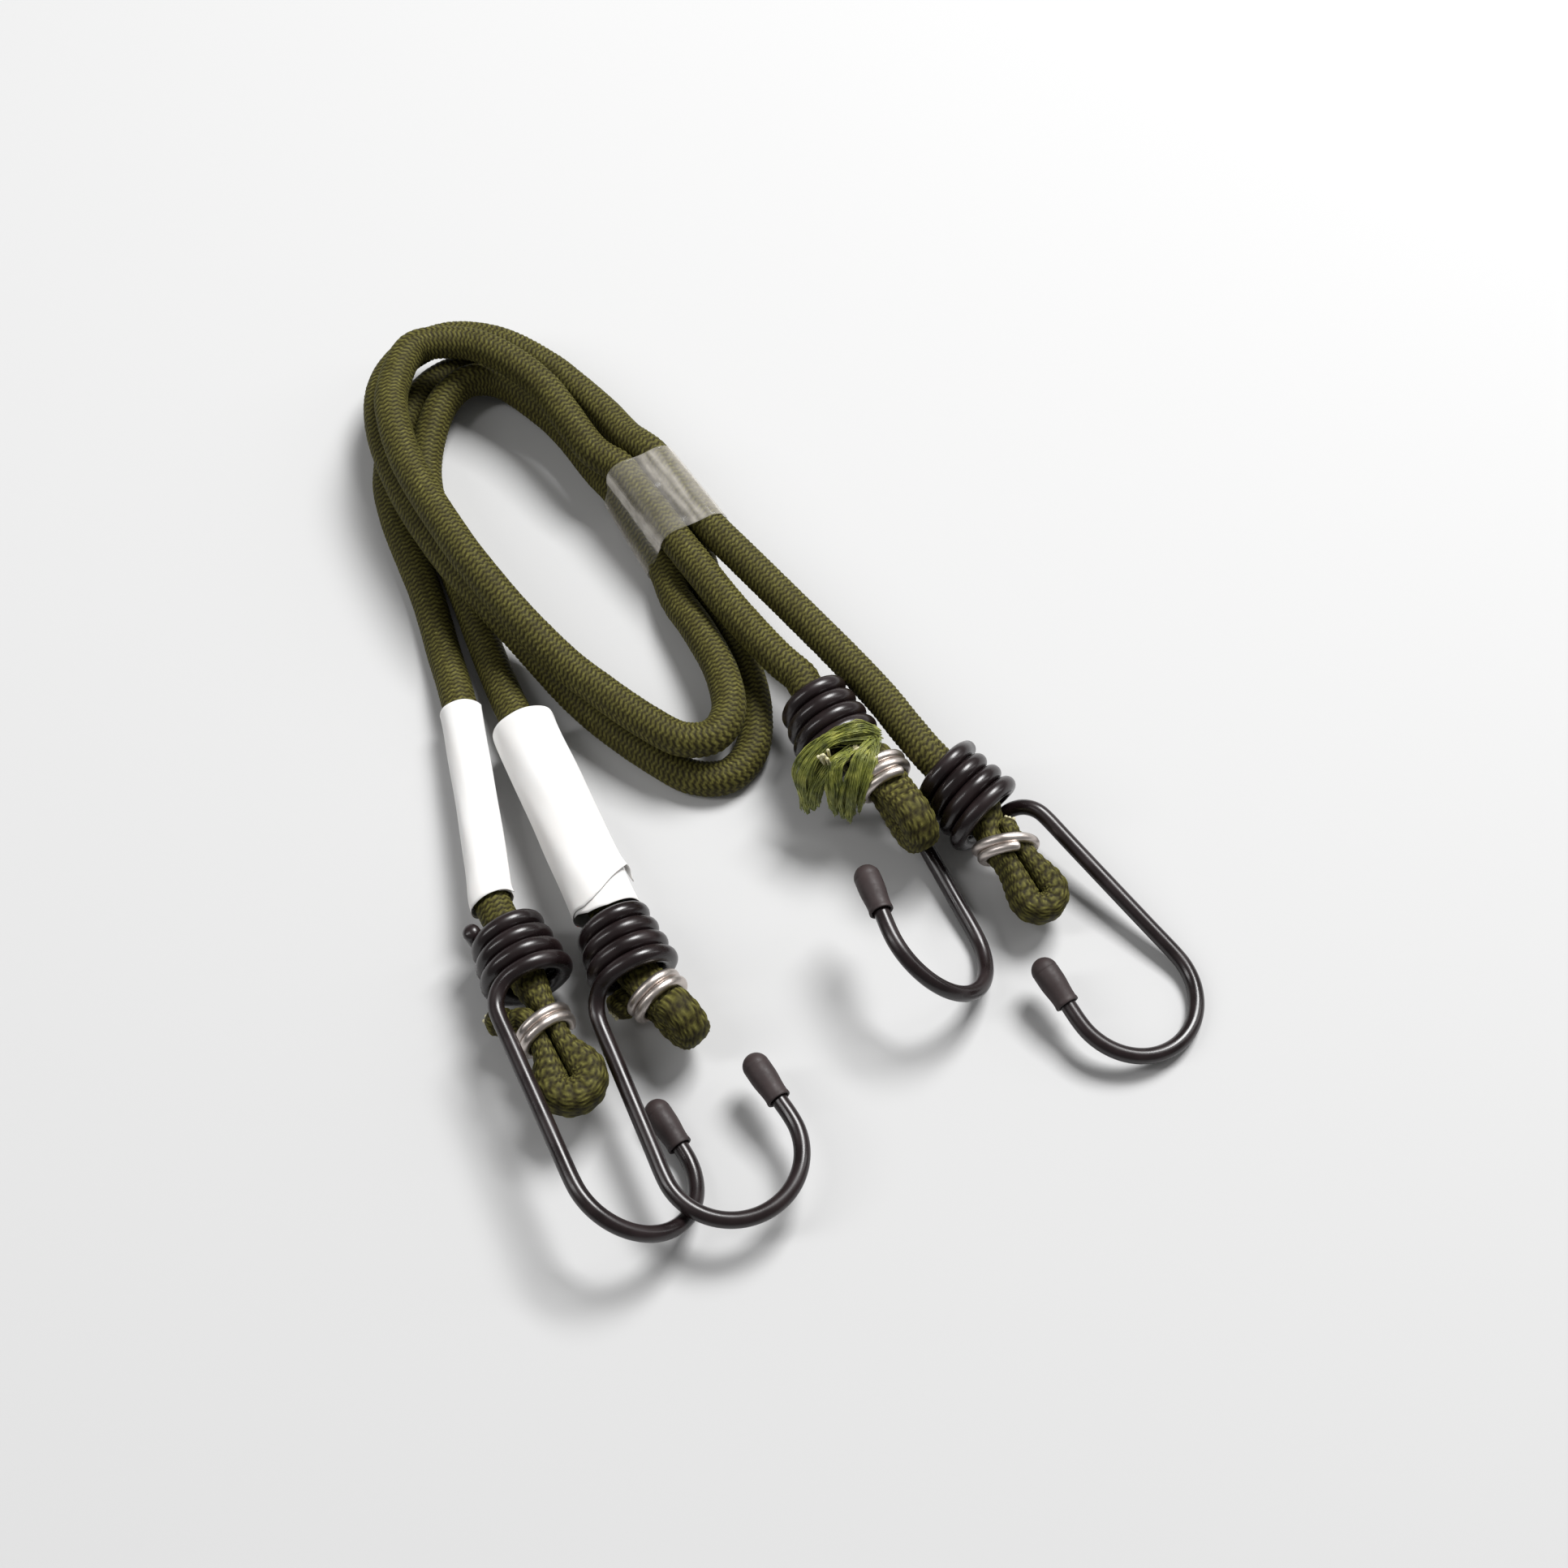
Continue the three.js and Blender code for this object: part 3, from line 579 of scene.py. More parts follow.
# %% [markdown]
# ## Materials
#
# Every finish is made of nodes. One helper starts a material with its main shader and returns a
# way to add nodes; the others make the nodes that most finishes need, so each recipe below is a
# short list.

# %% Helpers for materials
def new_material(name):
    material = bpy.data.materials.new(name)
    material.use_nodes = True
    tree = material.node_tree

    def put(node, inputs):
        for socket, value in inputs.items():
            if isinstance(value, bpy.types.NodeSocket):
                tree.links.new(value, node.inputs[socket])
            else:
                node.inputs[socket].default_value = value
        return node

    def add(kind, inputs=None, **settings):
        node = tree.nodes.new(kind)
        for key, value in settings.items():
            setattr(node, key, value)
        return put(node, inputs or {})

    def set_shader(**values):
        put(tree.nodes["Principled BSDF"], {key.replace("_", " "): values[key] for key in values})

    return material, add, set_shader


def noise(add, at, scale, detail, roughness=0.5):
    inputs = {"Vector": at, "Scale": scale, "Detail": detail, "Roughness": roughness}
    return add("ShaderNodeTexNoise", inputs).outputs["Fac"]


def stretched(add, at, *scale):
    return add("ShaderNodeMapping", {"Vector": at, "Scale": scale}).outputs["Vector"]


def bumped(add, height, strength, distance):
    inputs = {"Height": height, "Strength": strength, "Distance": distance}
    return add("ShaderNodeBump", inputs).outputs["Normal"]


def combined(add, operation, first, second, **settings):
    return add("ShaderNodeMath", {0: first, 1: second}, operation=operation, **settings).outputs["Value"]


def ramp(add, factor, *stops):
    """A colour ramp from (position, colour) stops. One number as the colour means that grey."""
    node = add("ShaderNodeValToRGB", {"Fac": factor})
    elements = node.color_ramp.elements
    while len(elements) < len(stops):
        elements.new(0.5)
    for element, (position, colour) in zip(elements, stops):
        element.position = position
        element.color = (*(colour if isinstance(colour, tuple) else (colour,) * 3), 1)
    return node.outputs["Color"]


def coat(material, pieces):
    for piece in pieces:
        piece.data.materials.append(material)


# %% [markdown]
# The sheath is olive polyester yarn. The ridge attribute drives painted shade into the grooves,
# nearly black green, and a small painted highlight onto the rib tops; a stretched noise gives the
# fine threads that lie side by side on the ribs.

# %% The braided yarn
yarn, add, set_shader = new_material("cord_yarn")
ridge = add("ShaderNodeAttribute", attribute_name="ridge").outputs["Fac"]
braid = add("ShaderNodeUVMap", uv_map="braid").outputs["UV"]
place = add("ShaderNodeTexCoord").outputs["Object"]
threads = noise(add, stretched(add, braid, 1.3, 3.0, 1.0), 1.0, 3.0, 0.6)
# Painted shade: the grooves go nearly black green. Painted highlight: the rib tops go bright olive. The fine
# threads vary it.
colour = ramp(
    add, combined(add, "MULTIPLY", ridge, threads),
    (0.04, (0.019, 0.0145, 0.0062)), (0.20, (0.048, 0.042, 0.0120)),
    (0.36, (0.094, 0.086, 0.0225)), (0.52, (0.148, 0.137, 0.037)), (0.68, (0.27, 0.25, 0.085)),
)
worn = ramp(add, noise(add, place, 55.0, 4.0), (0.3, (0.86, 0.86, 0.84)), (0.7, 1.0))
tinted = add("ShaderNodeMix", {"Factor": 1.0, 6: colour, 7: worn}, data_type="RGBA", blend_type="MULTIPLY")
set_shader(
    Base_Color=tinted.outputs[2], Roughness=0.62, Normal=bumped(add, threads, 0.35, 0.0002),
    Specular_IOR_Level=0.10, Sheen_Weight=0.02, Sheen_Roughness=0.4, Sheen_Tint=(0.75, 0.75, 0.35, 1),
)
for pieces in cords.values():
    coat(yarn, [tube for tube, _, _ in pieces.values()])

# %% [markdown]
# The loop rides on the hank, and each lead's place is baked into its mesh. LEAD_BLEND gives
# two reaches before the coil for each end; a negative reach lies inside the coil. Tight paper
# holds the left outer lead, so its reaches are close to the coil.

# %% The loop on the hank, the leads baked in place
LEAD_BLEND = {
    "right_inner": (46, 3), "right_outer": (46, 3), "left_inner": (70, 3), "left_outer": (3.2, -12),
}
for name, pieces in cords.items():
    for part, (tube, _, _) in pieces.items():
        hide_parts(f"{name}_loop" if part == "loop" else f"{name}_lead_{part}")
    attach(pieces["loop"][0], "hank")
    for part, end in zip(("right", "left"), ENDS_OF[name]):
        before, after = (CORD_START - reach for reach in LEAD_BLEND[end])
        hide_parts(f"cord_end_{end}")
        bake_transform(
            pieces[part][0], "hank", f"end_{end}",
            start=on_axis(end, before) * MM, end=on_axis(end, after) * MM,
        )

# %% [markdown]
# ## The hooks
#
# Each hook is one piece of wire: a short stub, a cone of almost four turns round the cord, a
# knee, a straight shank, a round bend and the tip. A bevelled curve would have flat ends, so
# the wire is swept like the cord and its cut ends are domed. The turns of the coil are a little
# fatter, because the coating is squeezed out there.

# %% The line of a hook
KNEE_RADIUS, BEND_RADIUS, BEND_SWEEP = 6.9, 14.5, math.radians(190)
LEAVE_ANGLE = math.pi - math.atan2(KNEE_RADIUS, COIL_WIDE) + COIL_TURNS * 2 * math.pi
SHANK_SIDE = math.hypot(COIL_WIDE, KNEE_RADIUS)
TIP_WAY = np.array([math.cos(BEND_SWEEP), math.sin(BEND_SWEEP), 0])
TURN_STEPS, BEND_STEPS = 24, 18


def bend_point(hook, angle):
    across = BEND_RADIUS - SHANK_SIDE - BEND_RADIUS * math.cos(angle)
    return np.array([hook["shank"] + BEND_RADIUS * math.sin(angle), across, 0])


def coil_point(angle):
    share = (angle - COIL_START) / (LEAVE_ANGLE - COIL_START)
    radius = COIL_NARROW + (COIL_WIDE - COIL_NARROW) * share
    along = COIL_PITCH * (angle / (2 * math.pi) - COIL_TURNS)
    return np.array([along, radius * math.cos(angle), radius * math.sin(angle)])


def hook_points(hook):
    """The points of a hook's wire from stub to tip, and the number of the first one of its knee."""
    slope = -COIL_PITCH / (2 * math.pi) / COIL_NARROW
    stub_way = np.array([slope, math.sin(COIL_START), -math.cos(COIL_START)])
    points = [coil_point(COIL_START) + stub_way * reach for reach in (hook["stub"], hook["stub"] / 2)]
    turns = (LEAVE_ANGLE - COIL_START) / (2 * math.pi)
    coil_angles = np.linspace(COIL_START, LEAVE_ANGLE, round(TURN_STEPS * turns) + 1)
    points += [coil_point(angle) for angle in coil_angles]
    knee, knee_start = len(points), points[-1]
    leaving = np.array([0, -math.sin(LEAVE_ANGLE), math.cos(LEAVE_ANGLE)])
    for turn in np.radians(np.arange(15, 91, 15)):
        ahead = np.array([KNEE_RADIUS * (1 - math.cos(turn)), 0, 0])
        points.append(knee_start + leaving * KNEE_RADIUS * math.sin(turn) + ahead)
    knee_end = points[-1]
    points += [knee_end + (bend_point(hook, 0) - knee_end) * share for share in (0.2, 0.5, 0.8)]
    points += [bend_point(hook, BEND_SWEEP * i / BEND_STEPS) for i in range(BEND_STEPS + 1)]
    root = bend_point(hook, BEND_SWEEP)
    points += [root + TIP_WAY * hook["tip"] * share for share in (0.3, 0.65, 1)]
    return points, knee


def hook_axes(name):
    return end_axes(name) @ Matrix.Rotation(math.radians(HOOKS[name]["swivel"]), 4, "X")


# %% The wire
WIRE_SIDES, WIRE_STEP = 20, 0.7
COIL_SQUEEZE, SQUEEZE_FADE = 0.21, 12


def make_hook(name):
    points, knee = hook_points(HOOKS[name])
    line, at, knots = even_line(placed(hook_axes(name), points), WIRE_STEP)
    squeeze = COIL_SQUEEZE * np.clip((knots[knee] - at) / SQUEEZE_FADE, 0, 1)
    rings = wire_rings(line, WIRE_RADIUS, WIRE_SIDES)
    dome = len(DOME)
    middle = rings[dome:dome + len(line)]
    middle += (middle - line[:, None]) * (squeeze / WIRE_RADIUS)[:, None, None]
    rings[:dome] += (rings[:dome] - line[0]) * COIL_SQUEEZE / WIRE_RADIUS
    piece = tube_mesh(f"wire_{name}", rings)
    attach(piece, f"hook_{name}")
    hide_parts(f"hook_{name}")
    print(piece.name, f"{at[-1]:.0f} mm of wire")
    return piece


wires = [make_hook(name) for name in HOOKS]

# %% [markdown]
# The coating is a glossy dark lacquer, almost black with a little brown in it. Real lacquer is
# never even: slow noise makes the gloss vary, and fine scratches catch the light here and
# there.

# %% Black lacquer
lacquer, add, set_shader = new_material("black_lacquer")
place = add("ShaderNodeTexCoord").outputs["Object"]
slow = noise(add, place, 160.0, 4.0)
scratches = noise(add, stretched(add, place, 900, 900, 3000), 1.0, 2.0)
set_shader(
    Base_Color=ramp(add, slow, (0.35, (0.0085, 0.0050, 0.0052)), (0.7, (0.0170, 0.0100, 0.0105))),
    Roughness=ramp(add, slow, (0.3, 0.22), (0.75, 0.38)), Normal=bumped(add, scratches, 0.06, 0.0001),
    Specular_IOR_Level=0.45, Coat_Weight=0.1, Coat_Roughness=0.15,
)
coat(lacquer, wires)

# %% [markdown]
# ## The tip caps
#
# A rubber cap covers each tip. It is moulded thicker towards its closed end and cut square at
# its mouth, with a thin lip: a profile turned round an axis. The cap is hollow, so the wire
# goes into it as it does in reality.

# %% The caps
CAP_SIDES = 32
CAP_BORE, CAP_MOUTH, CAP_BULB = 2.15, 2.55, 2.9


def cap_profile(tip):
    """Radius and place along the tip of each ring, from the floor of the bore to the closed end."""
    bore, mouth, bulb = CAP_BORE, CAP_MOUTH, CAP_BULB
    start, floor = tip - 7.8, tip + 0.35
    end = floor + 3.4
    profile = [
        (0.02, floor), (bore * 0.8, floor), (bore, floor - 0.5), (bore, start + 0.15), (bore + 0.12, start),
        (mouth + 0.02, start), (mouth + 0.1, start + 0.12), (mouth + 0.08, start + 0.7), (mouth, start + 0.95),
    ]
    for share in np.linspace(0, 1, 9):
        ease = share * share * (3 - 2 * share)
        profile.append((mouth + (bulb - mouth) * ease, start + 1.4 + 4.6 * share))
    profile += [(bulb, end - bulb - 0.35), (bulb - 0.06, end - bulb - 0.2), (bulb, end - bulb - 0.05)]
    for turn in np.radians(np.arange(8, 90, 8)):
        profile.append((bulb * math.cos(turn), end - bulb + bulb * math.sin(turn)))
    return profile + [(0.02, end)]


def make_cap(name):
    hook = HOOKS[name]
    cosine, sine = circle(CAP_SIDES)
    rim = cosine * np.array([-TIP_WAY[1], TIP_WAY[0], 0]) + sine * np.array([0, 0, 1])
    root = bend_point(hook, BEND_SWEEP)
    rings = [root + TIP_WAY * along + radius * rim for radius, along in cap_profile(hook["tip"])]
    piece = tube_mesh(f"cap_{name}", placed(hook_axes(name), rings))
    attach(piece, f"hook_{name}")
    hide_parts(f"hook_tip_{name}")
    return piece


caps = [make_cap(name) for name in HOOKS]
print("caps:", len(caps))

# %% [markdown]
# Soft rubber has a dull, slightly uneven skin, brown-black and paler where it has rubbed.

# %% Dark rubber
rubber, add, set_shader = new_material("dark_rubber")
place = add("ShaderNodeTexCoord").outputs["Object"]
skin = noise(add, place, 900.0, 5.0, 0.65)
rubbed = noise(add, place, 120.0, 3.0)
set_shader(
    Base_Color=ramp(add, rubbed, (0.35, (0.023, 0.0145, 0.0145)), (0.7, (0.042, 0.028, 0.0275))),
    Roughness=ramp(add, skin, (0.3, 0.5), (0.7, 0.68)), Normal=bumped(add, skin, 0.25, 0.0001),
    Specular_IOR_Level=0.4,
)
coat(rubber, caps)

# %% [markdown]
# ## The clamp rings
#
# About two turns of soft nickel-plated wire are squeezed round the folded end. The turns lie
# side by side and press into the cord; some lean, and one has a cut end in sight. The line is a
# flat helix, and the cut ends are domed again.

# %% The rings
RING_ACROSS, RING_OUT = 5.7, 5.6
RING_THICK, RING_SIDES = 2.25, 14


def make_ring(name):
    hook = HOOKS[name]
    along, across, out = fold_axes(hook)
    turn = np.linspace(*hook["ring_span"], 73)[:, None]
    aside = RING_ACROSS * np.cos(-2 * np.pi * turn)
    points = (
        np.array(hook["ring"], float) + (turn * RING_PITCH + hook["ring_lean"] * aside) * along
        + aside * across + RING_OUT * np.sin(-2 * np.pi * turn) * out
    )
    line, at, _ = even_line(placed(end_axes(name), points), 0.45)
    piece = tube_mesh(f"ring_{name}", wire_rings(line, RING_THICK / 2, RING_SIDES))
    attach(piece, f"end_{name}")
    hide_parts(f"clamp_ring_{name}")
    print(piece.name, f"{at[-1]:.0f} mm of wire")
    return piece


clamp_rings = [make_ring(name) for name in HOOKS]

# %% [markdown]
# Nickel is a warm grey metal. The clamping tool leaves scuffs, so both the gloss and the surface
# vary a little.

# %% Nickel
plated, add, set_shader = new_material("nickel")
scuff = noise(add, add("ShaderNodeTexCoord").outputs["Object"], 420.0, 5.0, 0.6)
set_shader(
    Base_Color=ramp(add, scuff, (0.3, (0.56, 0.50, 0.46)), (0.7, (0.68, 0.62, 0.58))), Metallic=1.0,
    Roughness=ramp(add, scuff, (0.3, 0.33), (0.75, 0.47)), Normal=bumped(add, scuff, 0.04, 0.0001),
)
coat(plated, clamp_rings)

# %% [markdown]
# ## The cut tails
#
# Where a cord is cut, its core shows: a bundle of pale rubber strands that spring back or stick
# out a little, each by its own length. The lengths come from a seeded random generator, so
# every run gives the same strands. On the frayed tail the core is bare and hangs out further.

# %% The core strands
chance = np.random.default_rng(7)
STRAND_RADIUS, STRAND_SIDES = 0.42, 10
STRAND_ROOT = 2.0
BARE_CORE = [(5.6, -2.6, 6.4), (5.0, -5.8, 6.6), (4.4, -7.2, 10.3)]


def tail_end(name):
    """The cut end of a tail and its direction, in the model's axes."""
    fine = through(fold_line(name)[0])
    return fine[-1], unit(fine[-1] - fine[-4])


def make_core(name):
    end, way = tail_end(name)
    first = unit(np.cross(way, (0.3, 0.2, 1.0)))
    second = np.cross(way, first)
    strands = []
    for ring_radius, number in ((0, 1), (0.95, 6)):
        for i in range(number):
            angle = 2 * math.pi * (i + 0.3 * ring_radius) / number
            offset = ring_radius * (math.cos(angle) * first + math.sin(angle) * second)
            out = chance.uniform(0.05, 0.35)
            lean = chance.normal(0, 0.08, 3)
            points = [end + offset - STRAND_ROOT * way, end + offset]
            if name == "right_inner":
                bare = np.array(BARE_CORE) + np.outer((0.2, 0.5, 1.0), chance.normal(0, 0.5, 3))
                points += list(placed(end_axes(name), bare) + offset * 0.95)
            else:
                points.append(end + offset * 1.1 + (way + lean) * out)
            strands.append(wire_rings(even_line(points, 0.4)[0], STRAND_RADIUS, STRAND_SIDES))
    piece = tube_mesh(f"core_strands_{name}", *strands)
    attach(piece, f"end_{name}")
    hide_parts(f"core_{name}")
    return piece


cores = [make_core(name) for name in HOOKS]
print("core strands:", sum(len(core.data.polygons) for core in cores), "faces")

# %% [markdown]
# Natural rubber is yellowish, and the talc on it makes it paler in specks. A little light goes
# through it.

# %% Pale rubber
latex, add, set_shader = new_material("pale_rubber")
dust = noise(add, add("ShaderNodeTexCoord").outputs["Object"], 1500.0, 4.0)
set_shader(
    Base_Color=ramp(add, dust, (0.3, (0.46, 0.42, 0.22)), (0.7, (0.72, 0.68, 0.46))),
    Roughness=0.55, Subsurface_Weight=0.1, Subsurface_Radius=(0.001, 0.0008, 0.0004),
)
coat(latex, cores)

# %% [markdown]
# ## The frayed tail
#
# One tail has come apart: its sheath is a tuft of loose green threads that hangs over the coil
# in two lobes, with the core in its middle. Hair particles aren't a mesh, so each thread is a
# thin swept tube. Threads run in locks, as combed yarn does: a lock has one path, and its
# threads lie round it. Each flow is a number of locks, how far they spread at each point, and
# the points.

# %% The tuft
FRAY_FLOWS = [
    (22, (1.0, 1.2, 1.2, 1.0), [(3.4, 6.2, 7.0), (2.4, 2.0, 10.2), (1.6, -4.2, 9.4), (2.6, -9.4, 6.4)]),
    (26, (0.9, 1.0, 1.3, 0.9), [(4.2, 3.6, 8.6), (1.8, -5.0, 9.4), (4.4, -11.2, 5.6), (9.4, -12.6, -4.2)]),
    (28, (0.9, 1.0, 1.3, 0.9), [(6.0, 3.4, 8.8), (8.6, -1.0, 10.4), (12.8, -4.6, 6.0), (15.2, -5.6, -4.0)]),
    (24, (0.6, 0.9, 1.2, 0.9), [(6.2, -2.4, 9.4), (7.6, -5.6, 9.4), (10.4, -7.2, 6.4), (13.0, -7.4, -2.0)]),
    (14, (0.8, 0.9, 1.1, 0.8), [(5.0, 5.2, 7.8), (9.2, 2.2, 9.0), (13.2, -1.8, 6.0), (15.4, -3.6, -0.4)]),
    (18, (0.8, 1.0, 1.1, 0.9), [(5.6, -1.0, 8.0), (6.4, -6.4, 7.0), (8.6, -10.2, 3.4), (10.0, -11.4, -2.4)]),
]
LOCK_THREADS, THREAD_STEP, THREAD_SIDES = 13, 1.45, 4
CRIMP_LENGTH = 2.4
FRAY_CLEAR = (4.0, COIL_WIDE + WIRE_RADIUS + COIL_SQUEEZE + 0.35)


def over_coil(line):
    """Threads that reach back to the coil lie on it and leave its wire free to turn."""
    out = np.hypot(line[:, 1], line[:, 2])
    near = np.clip(FRAY_CLEAR[0] - line[:, 0], 0, 1)
    lift = 1 + near * np.maximum(0, FRAY_CLEAR[1] - out) / out
    return line * np.stack([np.ones_like(lift), lift, lift], axis=1)


def make_fray():
    axes = end_axes("right_inner")
    threads = []
    for locks, spread, path in FRAY_FLOWS:
        for _ in range(locks):
            aside = np.clip(chance.normal(0, 0.6, 3), -1.1, 1.1)
            lock = np.array(path) + aside * np.array(spread)[:, None] + chance.normal(0, 0.25, (4, 3))
            lock[3] += (lock[2] - lock[3]) * 0.22 * min(1.6, aside @ aside)
            for _ in range(LOCK_THREADS):
                points = lock + chance.normal(0, 0.24, 3) + chance.normal(0, 0.12, (4, 3))
                line, at, _ = even_line(points, THREAD_STEP)
                wave = np.sin(2 * np.pi * at / CRIMP_LENGTH + chance.uniform(0, 6))
                crimp = wave[:, None] * chance.normal(0, 0.08, 3)
                line = placed(axes, over_coil(line + crimp))
                threads.append(wire_rings(line, chance.uniform(0.08, 0.15), THREAD_SIDES, domed=False))
    piece = tube_mesh("fray_right_inner", *threads)
    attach(piece, "end_right_inner")
    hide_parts("frayed_tail_right_inner")
    print(piece.name, len(threads), "threads,", len(piece.data.polygons), "faces")
    return piece


fray = make_fray()

# %% [markdown]
# The tuft is painted a brighter green than the braid: painted light, for loose threads that catch
# more light than braided ones. The green also differs from lock to lock.

# %% Loose thread
thread, add, set_shader = new_material("loose_thread")
locks = noise(add, add("ShaderNodeTexCoord").outputs["Object"], 420.0, 4.0)
# Brighter greens are painted light for threads that catch more light; the noise varies them from lock to lock.
lit_greens = (0.3, (0.050, 0.058, 0.006)), (0.5, (0.150, 0.165, 0.020)), (0.72, (0.34, 0.34, 0.07))
set_shader(
    Base_Color=ramp(add, locks, *lit_greens), Roughness=0.45, Sheen_Weight=0.3, Sheen_Tint=(0.8, 0.9, 0.4, 1),
)
coat(thread, [fray])

# %% [markdown]
# ## The paper sleeves
#
# A strip of white paper is rolled round each left lead. One is tight and bends with its cord,
# the other is loose and lies straight against its coil. The strip is a grid of points along a
# spiral, with a slightly uneven radius, a lifted outer edge and ends that aren't quite square.
# A Solidify modifier gives it its thickness.

# %% A rolled sheet
PAPER_THICK = 0.16
LAP_RISE, LIP_TURN = 0.34, 0.07
FLARE_RADIUS = 6.4


def sheet_mesh(name, grid, thickness):
    """An open sheet through a grid of points in millimetres, given a thickness."""
    rows, columns, _ = grid.shape
    corner = np.arange(rows - 1)[:, None] * columns + np.arange(columns - 1)
    faces = np.stack([corner, corner + 1, corner + columns + 1, corner + columns], axis=-1)
    piece = new_piece(name, grid.reshape(-1, 3), faces.reshape(-1, 4).tolist())
    solid = piece.modifiers.new("thickness", "SOLIDIFY")
    solid.thickness = thickness * MM
    solid.offset = 0
    return piece


def paper_roll(name, line, turns, radius, oval, seam, trim, ripple, flare):
    """Paper rolled round a line. seam is where the outer edge lies, as an angle from the top to
    the right; trim(angle) is how much shorter the sleeve is there at its lower end, and the
    angle goes on falling under the lap. flare is how far the rims stand out: at the upper end,
    on its left, and at the lower end; the sizes are those of a roll with FLARE_RADIUS."""
    _, normal, side = frames_along(line)
    length = lengths_along(line)
    turn = np.linspace(-turns, 0, round(90 * turns))
    angle = seam + 2 * np.pi * turn
    share = np.linspace(0, 1, 70)
    grid = np.zeros((len(share), len(turn), 3))
    for j, (a, t) in enumerate(zip(angle, turn)):
        at = share * (length[-1] - trim(a))
        middle, up, left = (
            np.stack([np.interp(at, length, data[:, axis]) for axis in range(3)], axis=1)
            for data in (line, normal, side)
        )
        lip = 0.25 * max(0, 1 + t / LIP_TURN) ** 2
        wave = np.sin(3 * a + at / 9) + 0.6 * np.sin(7 * a - at / 5 + 1) + 0.5 * np.sin(at / 3.1 + 2 * a)
        lifted = flare[1] + 0.11 * max(0, trim(a) - 3)
        rim = 0.13 + flare[0] * (0.5 - 0.5 * math.sin(a)) ** 3
        ends = rim * np.exp(-at / 1.6) + lifted * np.exp((at - at[-1]) / 2.6)
        r = radius + LAP_RISE * (t + turns) + lip + ripple * wave + ends * radius / FLARE_RADIUS
        upward, leftward = r * oval[1] * math.cos(a), -r * oval[0] * math.sin(a)
        grid[:, j] = middle + upward[:, None] * up + leftward[:, None] * left
    grid[..., 2] = np.maximum(grid[..., 2], 0.15)
    piece = sheet_mesh(name, grid, PAPER_THICK)
    return piece


# %% The tight sleeve
TIGHT_TOP, TIGHT_FOOT = 55.6, 2.4
outer_lead_line = even_line(OUTER_LOOP + OUTER_LEFT, 0.8)[0]
outer_lead_length = lengths_along(outer_lead_line)
to_coil = outer_lead_length[-1] - outer_lead_length
tight_line = outer_lead_line[(to_coil < TIGHT_TOP) & (to_coil > TIGHT_FOOT)]
tight_sleeve = paper_roll(
    "sleeve_tight", tight_line, turns=1.14, radius=4.32, oval=(1.0, 1.0), seam=math.radians(75),
    trim=lambda a: 0.5 + 0.4 * math.sin(a), ripple=0.05, flare=(0.1, 0.6),
)
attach(tight_sleeve, "sleeve_left_outer")
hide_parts("paper_sleeve_left_outer")

# %% The loose sleeve
COIL_EDGE = [0, 90, 180, 225, 285, 300, 320, 360], [0, 1.0, 2.0, 2.8, 2.6, 2.1, 0.8, 0]
OUTER_EDGE = [-80, -20, 30, 70, 88, 100], [0, 2.4, 6.2, 9.0, 8.4, 6.2]


def slanted_cut(angle):
    """The end follows the first turn of the coil. Over it the outer layer is cut on a slant: it
    runs on down the left, and is shorter at the right."""
    turned = math.degrees(angle)
    return np.interp(turned % 360, *COIL_EDGE) + np.interp(turned, *OUTER_EDGE)


loose_line = np.linspace((-52.6, 3.2, 7.9), on_axis("left_inner", CORD_START + 3.4), 84)
loose_sleeve = paper_roll(
    "sleeve_loose", loose_line, turns=1.5, radius=6.35, oval=(1.08, 0.97), seam=math.radians(100),
    trim=slanted_cut, ripple=0.09, flare=(-0.43, 0.15),
)
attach(loose_sleeve, "sleeve_left_inner")
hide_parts("paper_sleeve_left_inner")

# %% [markdown]
# Paper is white and dull, lets a little light through, and has a faint grain of fibres. Its
# colour drifts very slightly to cream.

# %% White paper
paper, add, set_shader = new_material("white_paper")
place = add("ShaderNodeTexCoord").outputs["Object"]
fibres = noise(add, stretched(add, place, 1.0, 0.35, 1.0), 1400.0, 6.0, 0.7)
clouds = noise(add, place, 60.0, 3.0)
set_shader(
    Base_Color=ramp(add, clouds, (0.3, (0.74, 0.725, 0.705)), (0.7, (0.80, 0.795, 0.785))),
    Roughness=0.8, Normal=bumped(add, fibres, 0.12, 0.0001), Specular_IOR_Level=0.2,
    Subsurface_Weight=0.12, Subsurface_Radius=(0.0012, 0.0009, 0.0008),
)
coat(paper, [tight_sleeve, loose_sleeve])

# %% [markdown]
# ## The tape
#
# Clear tape is drawn tight round the four strands and spans straight across the hollows between
# them. The band is a grid: an arc at each corner and a straight run between, dipping a little
# where the film sinks between two cords. Its last columns lap over the first.

# %% The band
TAPE_THICK = 0.09
TAPE_OFFSET = CORD_RADIUS + 0.42
ARC_POINTS, RUN_STEPS, LAP_COLUMNS = 9, 12, 14


def tape_ring(along, creases):
    corners = [(0, 0, 180), (1, 0, 270), (1, 1, 0), (0, 1, 90)]
    way = np.array([-math.sin(TAPE_HEADING), math.cos(TAPE_HEADING), 0])
    arcs = []
    for column, layer, start in corners:
        strand = np.array(tape_point(along, column, layer))
        for angle in np.radians(np.linspace(start, start + 90, ARC_POINTS)):
            outward = math.cos(angle) * way + math.sin(angle) * np.array([0, 0, 1])
            arcs.append(strand + TAPE_OFFSET * outward)
    arcs = np.array(arcs + arcs[:1])
    middle = np.array(tape_point(along, 0.5, 0.5))
    line = []
    for i, (start, end) in enumerate(zip(arcs[:-1], arcs[1:])):
        steps = RUN_STEPS if i % ARC_POINTS == ARC_POINTS - 1 else 1
        inward = unit(middle - (start + end) / 2)
        for share in np.arange(steps) / steps:
            line.append(start + (end - start) * share + inward * creases * math.sin(math.pi * share) ** 2)
    return np.array(line)


